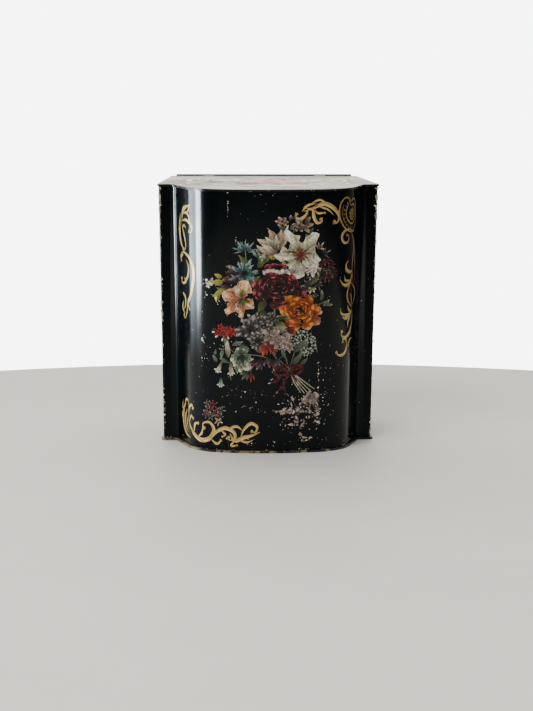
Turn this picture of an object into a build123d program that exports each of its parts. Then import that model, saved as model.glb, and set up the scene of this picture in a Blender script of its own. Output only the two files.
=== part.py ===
from build123d import *
from math import atan, cos, degrees, radians, sin, sqrt
import os

# Bow-front tinplate canister with a hinged lid, in millimetres, +Z up.
# The plan has two flat ears at the front corners and a deep bow between them; the sides close in
# towards a narrower flat back, and the whole body draws in a little towards its base, about the
# plane of the back wall. The origin is the centre of the bounding box's underside.

# Sheet and wire
SHEET = 0.4                 # tinplate of the panels, base and lid
STRAP_SHEET = 0.35          # thinner strip of the lid's hinge straps
WIRE_RADIUS = 0.5           # hinge wire
RUNNING_GAP = 0.05          # radial room between the wire and what is curled round it

# Plan at the mouth, measured on the front panel's outer face, with Y = 0 on the ears
HALF_WIDTH = 69.1           # centre to the tip of an ear
BACK_HALF_WIDTH = 60.0      # centre to a back corner
BACK_Y = 75.0               # ears to the back of the body
BOW = 43.0                  # how far the bow stands in front of the ears
BOW_RADIUS = 135.0          # the shallow curve across the front
SHOULDER_RADIUS = 28.0      # the round shoulders of the bow
CREASE_X = 59.3             # where the bow's flank meets an ear
FLANK_LEAN = 19.0           # lean of the flank from straight back, degrees
CREASE_RADIUS = 3.0
TIP_RADIUS = 1.3            # bend of the front panel round an ear's tip
BACK_RADIUS = 1.6           # bend of the shell at a back corner

# Heights
LID_TOP = 164.0             # table to the lid's upper face
BASE_SHARE = 0.962          # size of the plan at the base, as a share of the mouth's
MOUTH = LID_TOP - SHEET - 0.05   # top edge of the front and sides
BACK_RISE = 1.0             # how far the back wall stands above the lid
RISER_HALF = 58.2           # centre to an end of that raised edge

# Seams and hems
RETURN = 4.5                # how far the front panel laps back along each side
LAP_GAP = 0.05              # room between two lapped sheets
HEM_DEPTH = 2.6             # turned-in edge round the mouth
FLANGE = 1.0                # turned-out foot of the body sheets
FLANGE_Z = 0.45             # underside of that foot, on the base plate's seam
SEAM_OUT = 1.5              # how far the base seam stands outside the front panel
SEAM_HEIGHT = 1.5
LIP_GAP = 0.1               # seam lip to the body
PANEL_Z = 1.3               # underside of the raised base panel
PANEL_IN = 1.35             # front panel's face to the raised panel's edge

# Lid
RIM_IN = 0.5                # front panel's face to the inside of the lid's rim
RIM_OUT = RIM_IN + SHEET
RIM_DROP = 1.5              # height of the turned-down rim
SKIRT_IN = 1.9              # front panel's face to the skirt's outer face
SKIRT_DROP = 8.0            # depth of the skirt below the lid's underside
SKIRT_FOOT = 3.0            # width of the skirt's soldered flange
SKIRT_BACK_GAP = 9.5        # hinge axis to the back of the skirt

# Hinge: a strip on the back wall and two straps on the lid, curled round one wire
KNUCKLE_RADIUS = WIRE_RADIUS + RUNNING_GAP + SHEET
STRAP_RADIUS = WIRE_RADIUS + RUNNING_GAP + STRAP_SHEET
AXIS_BELOW_LID = 0.45       # lid's upper face down to the hinge axis
LID_BACK_GAP = 1.33         # hinge axis forward to the lid's back edge
STRIP_DROP = 6.5            # height of the strip's leaf on the back wall
STRIP_HALF = 56.0           # centre to an end of the strip and wire
STRAP_X = 37.0              # centre to the middle of a strap
STRAP_WIDTH = 7.0
STRAP_ROOM = 0.25           # side room of a strap in its notch
STRAP_LENGTH = 6.5          # flat of a strap under the lid
JOGGLE = 1.6                # length over which a strap steps up to the lid
WALL_ROOM = 0.3             # room between the straps' loops and the back wall

# Places that follow from the sizes above
WALL_OUT = -(SHEET + LAP_GAP)            # side and back shell's outer face, from the front panel's
WALL_IN = WALL_OUT - SHEET
SIDE_FRONT = -WALL_IN + 0.15             # front edge of the side sheets, behind the ears
SIDE_HEM_FRONT = SIDE_FRONT + SHEET      # front end of their hem
WALL_FACE_Y = BACK_Y + WALL_IN           # inner face of the back wall
AXIS_Y = WALL_FACE_Y - WALL_ROOM - KNUCKLE_RADIUS
AXIS_Z = LID_TOP - AXIS_BELOW_LID
LID_BACK_Y = AXIS_Y - LID_BACK_GAP
FRONT_END = -(BOW + RIM_OUT)             # lid rim at the front
BACK_END = BACK_Y + SEAM_OUT             # base seam at the back
CENTRE_Y = (FRONT_END + BACK_END) / 2
FAR = 400.0                              # larger than the whole canister


def plan_outline():
    """Closed outline of the front panel's outer face at the mouth, carried on round the back."""
    lean = radians(FLANK_LEAN)
    flank = Vector(sin(lean), cos(lean))
    inward = Vector(-cos(lean), sin(lean))
    crease = Vector(CREASE_X, 0)
    bow_centre = Vector(0, BOW_RADIUS - BOW)
    # The shoulder touches the flank from inside and the bow from inside.
    start = crease + inward * SHOULDER_RADIUS - bow_centre
    along = start.dot(flank)
    reach = BOW_RADIUS - SHOULDER_RADIUS
    back_off = along + sqrt(along**2 - start.dot(start) + reach**2)
    shoulder_centre = bow_centre + start - flank * back_off
    on_bow = bow_centre + (shoulder_centre - bow_centre).normalized() * BOW_RADIUS
    on_flank = crease - flank * back_off
    middle = ((on_bow - shoulder_centre) + (on_flank - shoulder_centre)).normalized()
    on_shoulder = shoulder_centre + middle * SHOULDER_RADIUS

    def mirrored(point):
        return Vector(-point.X, point.Y)

    tip = Vector(HALF_WIDTH, 0)
    corner = Vector(BACK_HALF_WIDTH, BACK_Y)
    rear = FilletPolyline(
        on_flank, crease, tip, corner,
        mirrored(corner), mirrored(tip), mirrored(crease), mirrored(on_flank),
        radius=[CREASE_RADIUS, TIP_RADIUS, BACK_RADIUS, BACK_RADIUS, TIP_RADIUS, CREASE_RADIUS],
    )
    left_shoulder = ThreePointArc(mirrored(on_flank), mirrored(on_shoulder), mirrored(on_bow))
    bow = ThreePointArc(mirrored(on_bow), (0, -BOW), on_bow)
    right_shoulder = ThreePointArc(on_bow, on_shoulder, on_flank)
    return make_face([*rear.edges(), left_shoulder, bow, right_shoulder])


PLAN = plan_outline()


def plan_at(grow):
    """The plan grown outwards by this much, or inwards where it is negative."""
    return PLAN if grow == 0 else offset(PLAN, amount=grow, kind=Kind.ARC).face()


def size_at(z):
    """Size of the body's plan at this height, as a share of the mouth's."""
    return 1 - (1 - BASE_SHARE) * (LID_TOP - z) / LID_TOP


def section(face, z):
    """A plan drawn in to the body's size at this height, about the back wall's plane."""
    share = size_at(z)
    drawn_in = scale(face, by=(share, share, 1))
    return Pos(0, BACK_Y * (1 - share), z) * drawn_in


def block(low, high, grow):
    """The tapering body of the canister between two heights, grown outwards by this much."""
    face = plan_at(grow)
    return loft([section(face, low), section(face, high)], ruled=True)


def wall(low, high, outer, inner):
    """A sheet or fold that follows the tapering body between two offsets of its plan."""
    return block(low, high, outer) - block(low, high, inner)


def prism(low, high, grow):
    """A plate of the mouth's own plan, with straight sides."""
    return extrude(Pos(0, 0, low) * plan_at(grow), amount=high - low)


def slab(x, y, z):
    """A box from three (low, high) pairs."""
    size = [pair[1] - pair[0] for pair in (x, y, z)]
    middle = [(pair[1] + pair[0]) / 2 for pair in (x, y, z)]
    return Pos(*middle) * Box(*size)


def in_front_of(y):
    return slab((-FAR, FAR), (-FAR, y), (-FAR, FAR))


def ahead(y):
    """All that lies in front of a line across the plan, drawn in with the body."""
    tilt = degrees(atan((BACK_Y - y) * (1 - BASE_SHARE) / LID_TOP))
    return Pos(0, y, LID_TOP) * Rot(tilt, 0, 0) * Pos(0, -FAR / 2, 0) * Box(2 * FAR, FAR, 2 * FAR)


def front_panel():
    """Bowed front with its ears, lapped back along the sides, hemmed at the mouth."""
    sheet = wall(FLANGE_Z, MOUTH, 0, -SHEET)
    foot = wall(FLANGE_Z, FLANGE_Z + SHEET, FLANGE, -SHEET)
    front = (sheet + foot) & ahead(RETURN)
    # The turned-in hem stops at the ears' inner face, clear of the side sheets.
    hem = wall(MOUTH - HEM_DEPTH, MOUTH, -SHEET, -2 * SHEET) & in_front_of(SHEET)
    return front + hem


def side_and_back_shell():
    """One sheet bent round the sides and back. Its back wall stands above the lid as a hem."""
    sheet = wall(FLANGE_Z, MOUTH, WALL_OUT, WALL_IN) - ahead(SIDE_FRONT)
    foot = wall(FLANGE_Z, FLANGE_Z + SHEET, FLANGE, WALL_IN) - ahead(RETURN + LAP_GAP)
    hem = wall(MOUTH - HEM_DEPTH, MOUTH, WALL_IN, WALL_IN - SHEET) - ahead(SIDE_HEM_FRONT)
    hem &= in_front_of(LID_BACK_Y - SKIRT_BACK_GAP)
    span = (-RISER_HALF, RISER_HALF)
    riser = slab(span, (WALL_FACE_Y, BACK_Y + WALL_OUT), (MOUTH - 1, LID_TOP + BACK_RISE))
    fold = slab(span, (BACK_Y + WALL_OUT, BACK_Y), (LID_TOP - HEM_DEPTH, LID_TOP + BACK_RISE))
    back_edge = riser + fold
    back_edge = fillet(back_edge.edges().filter_by(Axis.X).group_by(Axis.Z)[-1], 0.3)
    return sheet + foot + hem + back_edge


def base_plate():
    """Raised base panel in a channel that is clinched round the turned-out foot of the body."""
    panel = block(PANEL_Z, PANEL_Z + SHEET, -PANEL_IN)
    countersink = wall(0, PANEL_Z + SHEET, SHEET - PANEL_IN, -PANEL_IN)
    floor = wall(0, SHEET, SEAM_OUT, -PANEL_IN)
    outside = wall(0, SEAM_HEIGHT, SEAM_OUT, SEAM_OUT - SHEET)
    lip = wall(SEAM_HEIGHT - SHEET, SEAM_HEIGHT, SEAM_OUT, LIP_GAP)
    return panel + countersink + floor + outside + lip


def lid_panel():
    """Flat lid with a narrow rim turned down round its front and sides."""
    plate = prism(LID_TOP - SHEET, LID_TOP, RIM_OUT)
    rim = prism(LID_TOP - RIM_DROP, LID_TOP, RIM_OUT) - prism(LID_TOP - RIM_DROP, LID_TOP, RIM_IN)
    lid = (plate + rim) & in_front_of(LID_BACK_Y)
    top = lid.faces().sort_by(Axis.Z)[-1]
    edges = [edge for edge in top.edges() if edge.center().Y < LID_BACK_Y - 0.01]
    return fillet(edges, 0.25)


def lid_skirt():
    """Strip bent to the mouth's plan, with a flange soldered under the lid."""
    top = LID_TOP - SHEET
    back = AXIS_Y - SKIRT_BACK_GAP

    def plug(low, high, inset):
        return prism(low, high, inset - SKIRT_IN) & in_front_of(back + inset)

    strip = plug(top - SKIRT_DROP, top, 0) - plug(top - SKIRT_DROP, top, -SHEET)
    flange = plug(top - SHEET, top, 0) - plug(top - SHEET, top, -SKIRT_FOOT)
    bead = plug(top - SKIRT_DROP, top - SKIRT_DROP + SHEET, 0)
    bead -= plug(top - SKIRT_DROP, top - SKIRT_DROP + SHEET, -2 * SHEET)
    return strip + flange + bead


def across(profile, x_low, x_high):
    """A profile drawn as (Y, Z) from the hinge axis, run along X at the axis."""
    plane = Plane(origin=(x_low, AXIS_Y, AXIS_Z), x_dir=(0, 1, 0), z_dir=(1, 0, 0))
    return extrude(plane * profile, amount=x_high - x_low)


def curl(radius, first, last):
    """Points on a circle about the hinge axis, at two angles and half way, back = 0, up = 90."""
    return [
        (radius * cos(radians(angle)), radius * sin(radians(angle)))
        for angle in (first, (first + last) / 2, last)
    ]


def hinge_strip():
    """Leaf on the back wall, curled forwards over the wire, notched for the two straps."""
    middle = KNUCKLE_RADIUS - SHEET / 2
    on_wall = middle + WALL_ROOM
    path = [
        Line((on_wall, -STRIP_DROP), (on_wall, -JOGGLE)),
        Line((on_wall, -JOGGLE), (middle, 0)),
        ThreePointArc(*curl(middle, 0, 285)),
    ]
    strip = across(trace(path, line_width=SHEET), -STRIP_HALF, STRIP_HALF)
    for side in (-1, 1):
        reach = STRAP_WIDTH / 2 + STRAP_ROOM
        span = (side * STRAP_X - reach, side * STRAP_X + reach)
        strip -= slab(span, (AXIS_Y - 3, BACK_Y), (AXIS_Z - 1.5, AXIS_Z + 3))
    return strip


def hinge_wire():
    """Wire through the strip's curl and both straps."""
    return across(Circle(WIRE_RADIUS), -STRIP_HALF, STRIP_HALF)


def hinge_strap(x):
    """Strap looped round the wire, stepped up and soldered under the lid."""
    middle = STRAP_RADIUS - STRAP_SHEET / 2
    under_lid = AXIS_BELOW_LID - SHEET - STRAP_SHEET / 2
    path = [
        ThreePointArc(*curl(middle, 188, -90)),
        Line((0, -middle), (-0.5, -middle)),
        Line((-0.5, -middle), (-0.5 - JOGGLE, under_lid)),
        Line((-0.5 - JOGGLE, under_lid), (-0.5 - JOGGLE - STRAP_LENGTH, under_lid)),
    ]
    return across(trace(path, line_width=STRAP_SHEET), x - STRAP_WIDTH / 2, x + STRAP_WIDTH / 2)


PARTS = {
    "front_panel": front_panel(),
    "side_and_back_shell": side_and_back_shell(),
    "base_plate": base_plate(),
    "hinge_strip": hinge_strip(),
    "hinge_wire": hinge_wire(),
    "lid_panel": lid_panel(),
    "lid_skirt": lid_skirt(),
    "hinge_strap_left": hinge_strap(-STRAP_X),
    "hinge_strap_right": hinge_strap(STRAP_X),
}

os.makedirs("parts", exist_ok=True)
for name, shape in PARTS.items():
    export_step(Pos(0, -CENTRE_Y, 0) * shape, f"parts/{name}.step")
print("hinge axis at y", round(AXIS_Y - CENTRE_Y, 3), "z", round(AXIS_Z, 3))
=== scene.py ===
import bpy
import numpy as np
from math import cos, pi, radians, sin
from mathutils import Matrix, Vector


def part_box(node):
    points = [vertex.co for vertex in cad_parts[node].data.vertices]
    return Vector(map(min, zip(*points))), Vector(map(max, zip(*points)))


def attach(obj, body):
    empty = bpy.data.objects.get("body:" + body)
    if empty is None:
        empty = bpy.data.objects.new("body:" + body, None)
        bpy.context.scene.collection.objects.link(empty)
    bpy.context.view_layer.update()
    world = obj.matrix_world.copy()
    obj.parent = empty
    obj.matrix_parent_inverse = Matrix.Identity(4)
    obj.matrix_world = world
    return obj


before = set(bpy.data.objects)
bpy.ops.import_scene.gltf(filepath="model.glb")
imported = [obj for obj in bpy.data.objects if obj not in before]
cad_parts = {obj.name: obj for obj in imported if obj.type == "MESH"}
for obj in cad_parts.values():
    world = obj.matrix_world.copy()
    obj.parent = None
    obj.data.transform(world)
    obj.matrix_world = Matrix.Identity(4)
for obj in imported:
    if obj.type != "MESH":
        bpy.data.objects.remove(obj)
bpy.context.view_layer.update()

# Bow-front canister with a printed bouquet and gold scrollwork on black japanned tinplate.
# Artwork is laid out flat in millimetres and then wrapped onto the sheet.
mm = 0.001
print("frame loaded")

# Sizes of the body's plan, as the sheet metal has them, in millimetres
tin = {
    "halfWidth": 69.1, "backHalfWidth": 60.0, "backY": 75.0,
    "bow": 43.0, "bowRadius": 135.0, "shoulderRadius": 28.0,
    "creaseX": 59.3, "flankLean": 19.0, "creaseRadius": 3.0,
    "baseShare": 0.962,    # plan at the base, as a share of the mouth's
    "sideSink": 0.45,      # side sheets lie this far inside the plan
}
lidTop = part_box("lid_panel")[1][2] / mm
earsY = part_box("front_panel")[0][1] / mm + tin["bow"]


def arcPoints(centre, radius, start, end, count):
    # Points on a circle between two angles
    angle = np.linspace(start, end, count)
    return np.asarray(centre) + radius * np.stack([np.cos(angle), np.sin(angle)], 1)


def planHalf():
    # Right half of the plan from the middle of the bow to the middle of the back: the bow's arc,
    # the shoulder's arc tangent to it and to the leaning flank, the crease, the ear, side and back
    lean = radians(tin["flankLean"])
    flank = np.array([sin(lean), cos(lean)])
    inward = np.array([-cos(lean), sin(lean)])
    crease = np.array([tin["creaseX"], 0.0])
    bowCentre = np.array([0.0, tin["bowRadius"] - tin["bow"]])
    start = crease + inward * tin["shoulderRadius"] - bowCentre
    along = start @ flank
    reach = tin["bowRadius"] - tin["shoulderRadius"]
    backOff = along + np.sqrt(along**2 - start @ start + reach**2)
    shoulder = bowCentre + start - flank * backOff
    onFlank = crease - flank * backOff
    toShoulder = (shoulder - bowCentre) / np.linalg.norm(shoulder - bowCentre)
    bowEnd = np.arctan2(toShoulder[1], toShoulder[0])
    flankEnd = np.arctan2(*(onFlank - shoulder)[::-1])
    turn = pi / 2 - lean
    cut = tin["creaseRadius"] * np.tan(turn / 2)
    creaseStart = crease - flank * cut
    creaseCentre = creaseStart - inward * tin["creaseRadius"]
    return np.concatenate([
        arcPoints(bowCentre, tin["bowRadius"], -pi / 2, bowEnd, 80),
        arcPoints(shoulder, tin["shoulderRadius"], bowEnd, flankEnd, 60)[1:],
        arcPoints(creaseCentre, tin["creaseRadius"], pi - lean, pi / 2, 12),
        [[tin["halfWidth"], 0.0], [tin["backHalfWidth"], tin["backY"]], [0.0, tin["backY"]]],
    ])


planPoints = planHalf()
planRun = np.concatenate([[0.0], np.cumsum(np.linalg.norm(np.diff(planPoints, axis=0), axis=1))])
earRun, cornerRun, backRun = planRun[-3], planRun[-2], planRun[-1]


def wrapBody(u, z, lift):
    # Artwork to the body: u is the run along the plan from the middle of the front, z the height.
    # The plan shrinks towards the base about the back wall's plane.
    run = np.abs(u)
    x = np.interp(run, planRun, planPoints[:, 0])
    y = np.interp(run, planRun, planPoints[:, 1])
    step = 0.4    # half the run that the slope is taken over
    dx = np.interp(run + step, planRun, planPoints[:, 0]) - np.interp(run - step, planRun, planPoints[:, 0])
    dy = np.interp(run + step, planRun, planPoints[:, 1]) - np.interp(run - step, planRun, planPoints[:, 1])
    dx = np.where(run < step, 2 * step, dx)
    dy = np.where(run < step, 0.0, dy)
    long = np.hypot(dx, dy)
    out = lift - np.where(run > earRun, tin["sideSink"], 0.0)
    x = x + out * dy / long
    y = y - out * dx / long
    share = 1 - (1 - tin["baseShare"]) * (lidTop - z) / lidTop
    x, y = np.sign(u + 1e-9) * x * share, tin["backY"] * (1 - share) + y * share + earsY
    return np.stack([x, y, z], -1) * mm


def wrapLid(x, y, lift):
    # Artwork to the flat top of the lid
    return np.stack([x, y, lidTop + lift + 0 * x], -1) * mm


# Inks as dark, middle and light, in display values
inks = {
    "crimson": ((8, 1, 3), (80, 10, 22), (196, 92, 96)),
    "ribbon": ((8, 1, 3), (64, 6, 14), (140, 40, 46)),
    "orange": ((44, 12, 2), (142, 60, 4), (226, 146, 62)),
    "palePeach": ((176, 92, 60), (244, 156, 114), (254, 222, 190)),
    "paleGold": ((120, 100, 52), (206, 186, 116), (244, 236, 184)),
    "paleCream": ((140, 134, 108), (222, 214, 184), (248, 244, 226)),
    "peach": ((70, 34, 16), (166, 102, 64), (218, 176, 138)),
    "cream": ((54, 48, 34), (172, 164, 136), (234, 228, 204)),
    "blush": ((64, 44, 36), (172, 142, 120), (226, 208, 186)),
    "teal": ((6, 16, 20), (50, 76, 78), (138, 158, 150)),
    "mauve": ((12, 9, 10), (74, 64, 64), (156, 146, 138)),
    "wine": ((14, 2, 6), (72, 20, 32), (158, 106, 112)),
    "scarlet": ((44, 1, 5), (138, 6, 16), (206, 84, 80)),
    "rust": ((28, 4, 3), (110, 26, 16), (184, 92, 66)),
    "leaf": ((8, 13, 6), (66, 74, 34), (158, 156, 88)),
    "greyLeaf": ((10, 16, 13), (76, 88, 72), (176, 182, 156)),
    "sky": ((26, 36, 34), (128, 138, 126), (212, 214, 198)),
    "lime": ((36, 36, 6), (122, 116, 34), (208, 198, 124)),
    "stalk": ((26, 28, 20), (98, 98, 78), (184, 178, 148)),
    "gold": ((60, 38, 12), (172, 134, 64), (246, 220, 150)),
    "primer": ((104, 94, 84), (184, 172, 158), (236, 230, 220)),
    "pinkPrimer": ((88, 72, 66), (150, 130, 120), (200, 182, 168)),
    "brown": ((26, 5, 4), (104, 34, 22), (170, 92, 62)),
}


def linear(rgb):
    # Display values 0 to 255 to linear light
    c = np.asarray(rgb, float) / 255
    return np.where(c <= 0.04045, c / 12.92, ((c + 0.055) / 1.055) ** 2.4)


def ramp(ink, shade):
    # Blend of an ink's three colours, dark to middle to light, by a shade from 0 to 1
    dark, middle, light = (linear(c) for c in inks[ink])
    k = np.clip(shade, 0, 1)[..., None]
    return np.where(k < 0.5, dark + (middle - dark) * 2 * k, middle + (light - middle) * (2 * k - 1))


insideY = 20    # a place well inside the body, which the print on it faces away from


class Sheet:
    # Grids of artwork that end up in one printed piece: flat place, petal coordinates and tint
    def __init__(self, wrap, lift, step=0.006):
        self.wrap, self.lift, self.step = wrap, lift, step
        self.parts = []

    def add(self, x, y, s, t, tint, order=None):
        # x, y, s and t are (pieces, rows, columns); each piece lies a little above the one before
        order = np.arange(x.shape[0]) if order is None else order
        lift = self.lift + self.step * order[:, None, None] + 0 * x
        self.lift += self.step * (order[-1] + 1)
        self.parts.append((self.wrap(x, y, lift), np.stack([s + 0 * x, t + 0 * x], -1), tint))

    def build(self, name, body, slot, material):
        corners, faces, uvs, tints, start = [], [], [], [], 0
        for points, uv, tint in self.parts:
            count, rows, columns = points.shape[:3]
            index = np.arange(count * rows * columns).reshape(count, rows, columns) + start
            quads = [index[:, :-1, :-1], index[:, 1:, :-1], index[:, 1:, 1:], index[:, :-1, 1:]]
            corners.append(points.reshape(-1, 3))
            faces.append(np.stack(quads, -1).reshape(-1, 4))
            uvs.append(uv.reshape(-1, 2))
            tints.append(np.broadcast_to(tint, points.shape).reshape(-1, 3))
            start += count * rows * columns
        corners, faces = np.concatenate(corners), np.concatenate(faces)
        uvs, tints = np.concatenate(uvs), np.concatenate(tints)
        a, b, c = (corners[faces[:, k]] for k in (0, 1, 3))
        normal = np.cross(b - a, c - a)
        middle = corners[faces].mean(1)
        if self.wrap is wrapLid:
            away = np.array([0.0, 0.0, 1.0])
        else:
            away = (middle - [0.0, insideY * mm, 0.0]) * [1, 1, 0]
        flip = (normal * away).sum(1) < 0
        faces[flip] = faces[flip][:, ::-1]
        mesh = bpy.data.meshes.new(name)
        mesh.from_pydata(corners.tolist(), [], faces.tolist())
        layer = mesh.uv_layers.new(name="petal")
        layer.data.foreach_set("uv", uvs[faces.reshape(-1)].astype(np.float32).reshape(-1))
        attribute = mesh.attributes.new("tint", "FLOAT_COLOR", "POINT")
        rgba = np.concatenate([tints, np.ones((len(tints), 1))], 1).astype(np.float32)
        attribute.data.foreach_set("color", rgba.reshape(-1))
        mesh.polygons.foreach_set("use_smooth", np.ones(len(faces), bool))
        piece = bpy.data.objects.new(name, mesh)
        bpy.context.scene.collection.objects.link(piece)
        mesh.materials.append(material)
        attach(piece, body)
        return piece


def petals(sheet, x, y, angle, length, width, ink, bend=0.0, peak=0.6, roundness=0.6, ruffle=0.06,
           base=0.15, rise=0.75, rim=0.2, streak=0.1, squash=(1.0, 1.0), about=None, seed=1,
           rows=11, columns=9):
    # Each petal runs from s = 0 at its base to s = 1 at its tip along a circular arc, and is
    # sin(pi s^k)^roundness wide, with k set so that it is widest at s = peak. Its shade rises from
    # base to tip, with a lighter rim and a darker fold down one side.
    dice = np.random.default_rng(seed)
    x, y, angle, length, width, bend = np.broadcast_arrays(
        *[np.atleast_1d(np.asarray(v, float)) for v in (x, y, angle, length, width, bend)])
    count = x.size
    x, y, angle, length, width, bend = (
        v.reshape(-1, 1, 1) for v in (x, y, np.radians(angle), length, width, np.radians(bend) + 1e-4))
    s = np.linspace(0, 1, rows)[None, :, None]
    t = np.linspace(-1, 1, columns)[None, None, :]
    power = np.log(0.5) / np.log(peak)
    profile = np.sin(pi * np.clip(s, 1e-4, 1 - 1e-4) ** power) ** roundness
    phase = dice.uniform(0, 2 * pi, (count, 1, 1))
    wave = (1 + ruffle * np.sin(9 * s + phase + 2.5 * t) * np.abs(t)
            + ruffle * np.sin(21 * s + 2 * phase) * np.abs(t))
    half = width / 2 * profile * wave
    turn = angle + bend * s
    along = length * (1 + ruffle * np.sin(5 * t + phase) * s)
    px = along * (np.sin(turn) - np.sin(angle)) / bend - np.sin(turn) * t * half
    py = along * (np.cos(angle) - np.cos(turn)) / bend + np.cos(turn) * t * half
    if about is None:
        px, py = x + px * squash[0], y + py * squash[1]
    else:
        px = about[0] + (x + px - about[0]) * squash[0]
        py = about[1] + (y + py - about[1]) * squash[1]
    own = dice.uniform(-0.12, 0.12, (count, 1, 1))
    side = dice.choice([-1, 1], (count, 1, 1))
    shade = base + own + rise * s**1.3 + rim * (np.clip(s - 0.78, 0, 1) * 4 + np.abs(t) ** 4 * 0.7)
    shade = shade - 0.22 * np.exp(-((t - 0.35 * side) / 0.3) ** 2) * (1 - s * 0.4)
    shade = shade + streak * np.sin(t * 11 + phase) * (1 - 0.5 * s)
    sheet.add(px, py, s, t, ramp(ink, shade))


def bloom(sheet, x, y, radius, ink, rings, seed=1, squash=(1.0, 1.0), turn=0.0, **look):
    # Rings of petals, outermost first: (petals, base radius, length, width), as shares of radius
    dice = np.random.default_rng(seed)
    for ring, (count, inner, length, width) in enumerate(rings):
        angle = np.arange(count) * 360 / count + turn + ring * 23 + dice.uniform(-8, 8, count)
        where = np.radians(angle)
        petals(sheet, x + radius * inner * np.cos(where), y + radius * inner * np.sin(where), angle,
               radius * length * dice.uniform(0.9, 1.08, count), radius * width, ink,
               bend=dice.uniform(-22, 22, count), squash=squash, about=(x, y), seed=seed + ring, **look)


def cabbage(sheet, x, y, radius, heart, ink, rings, seed=1, squash=0.75, **look):
    # A full rose seen from one side: rings of broad petals shrink and climb towards the heart;
    # each ring is (petals, share of the radius)
    dice = np.random.default_rng(seed)
    for ring, (count, share) in enumerate(rings):
        climb = heart * (1 - share)
        angle = np.arange(count) * 360 / count + ring * 31 + dice.uniform(-9, 9, count)
        where = np.radians(angle)
        reach = radius * share
        petals(sheet, x + 0.42 * reach * np.cos(where), y + climb + 0.42 * reach * np.sin(where),
               angle + dice.uniform(-12, 12, count), reach * 0.6 * dice.uniform(0.9, 1.1, count),
               reach * 5.2 / count, ink, bend=dice.uniform(-30, 30, count), squash=(1.0, squash),
               about=(x, y + climb), seed=seed + ring, **look)


def smoothLine(points, count):
    # Catmull-Rom curve through given points
    p = np.asarray(points, float)
    p = np.concatenate([[2 * p[0] - p[1]], p, [2 * p[-1] - p[-2]]])
    k = np.linspace(0, len(p) - 3 - 1e-9, count)
    i = k.astype(int)
    f = (k - i)[:, None]
    a, b, c, d = p[i], p[i + 1], p[i + 2], p[i + 3]
    return 0.5 * (2 * b + (c - a) * f + (2 * a - 5 * b + 4 * c - d) * f**2 + (3 * b - a - 3 * c + d) * f**3)


def ribbonAlong(sheet, line, half, ink, shade=0.5, columns=5):
    # A band of varying half width laid along a line; the shade may vary along it
    step = np.gradient(line, axis=0)
    step /= np.linalg.norm(step, axis=1, keepdims=True) + 1e-9
    t = np.linspace(-1, 1, columns)[None, None, :]
    s = np.linspace(0, 1, len(line))[None, :, None]
    half = np.asarray(half)[None, :, None]
    px = line[None, :, 0, None] - step[None, :, 1, None] * t * half
    py = line[None, :, 1, None] + step[None, :, 0, None] * t * half
    value = np.asarray(shade) * np.ones(len(line))
    sheet.add(px, py, s, t, ramp(ink, value[None, :, None] - 0.12 * t + 0 * s))


def stem(sheet, points, width, ink, shade=0.5, ends=(0.5, 1.0)):
    # A stalk whose width runs between its two ends
    line = smoothLine(points, 10 * len(points))
    half = width / 2 * np.linspace(ends[0], ends[1], len(line))
    ribbonAlong(sheet, line, half, ink, shade, columns=3)


def leaves(sheet, rows, ink, seed=1, **look):
    # Pointed leaves: (x, y, angle, length, width) each
    x, y, angle, length, width = np.array(rows, float).T
    dice = np.random.default_rng(seed)
    settings = {"peak": 0.42, "roundness": 0.85, "ruffle": 0.07, "base": 0.3, "rise": 0.3, "rim": 0.12}
    settings.update(look)
    petals(sheet, x, y, angle, length, width, ink, bend=dice.uniform(-35, 35, len(x)), seed=seed, **settings)


def tendril(sheet, points, width, drop, ink, thin=0.16, shade=0.5):
    # A scroll stroke through given points that swells on its way and may end in a round drop
    line = smoothLine(points, 14 * len(points))
    run = np.concatenate([[0], np.cumsum(np.linalg.norm(np.diff(line, axis=0), axis=1))])
    s = run / run[-1]
    half = width / 2 * (thin + (1 - thin) * np.sin(pi * s ** (1.0 if drop else 0.8)) ** 1.1)
    half = half + width * drop / 2 * np.exp(-((run - run[-1] + 0.36 * width) / (0.36 * width)) ** 2)
    half[-1] = 0.02
    ribbonAlong(sheet, line, half, ink, shade + 0.25 * np.sin(pi * s))


def flakes(sheet, u, z, size, ink, seed=1, stretch=0.45):
    # Ragged spots: a circle whose radius wanders with the angle, stretched one way
    dice = np.random.default_rng(seed)
    u, z, size = (np.asarray(v, float).reshape(-1, 1, 1) for v in (u, z, size))
    count = u.size
    ring = np.linspace(0, 2 * pi, 12)[None, None, :]
    out = np.array([0.0, 0.6, 1.0])[None, :, None]
    each = (count, 1, 1)
    wander = sum(dice.uniform(0.05, 0.28, each) * np.sin(k * ring + dice.uniform(0, 6.3, each))
                 for k in (2, 3, 5))
    radius = size * out * (1 + wander)
    pull = 1 + dice.uniform(-stretch, stretch, each)
    lean = dice.uniform(0, pi, each)
    a, b = radius * np.cos(ring) * pull, radius * np.sin(ring) / pull
    shade = dice.uniform(0, 1, each) + 0 * ring - 0.25 * (out == 1.0)
    sheet.add(u + a * np.cos(lean) - b * np.sin(lean), z + a * np.sin(lean) + b * np.cos(lean),
              out, ring / pi - 1, ramp(ink, shade), order=np.zeros(count))


def place(tree, kind, inputs=None, **settings):
    # Adds a node, with values or links for its inputs
    node = tree.nodes.new(kind)
    for key, value in settings.items():
        setattr(node, key, value)
    for key, value in (inputs or {}).items():
        if isinstance(value, bpy.types.NodeSocket):
            tree.links.new(value, node.inputs[key])
        else:
            node.inputs[key].default_value = value
    return node


def calc(tree, operation, a, b=0.0):
    return place(tree, "ShaderNodeMath", {0: a, 1: b}, operation=operation).outputs[0]


def times(tree, a, b):
    return calc(tree, "MULTIPLY", a, b)


def plus(tree, a, b):
    return calc(tree, "ADD", a, b)


def minus(tree, a, b):
    return calc(tree, "SUBTRACT", a, b)


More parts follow.
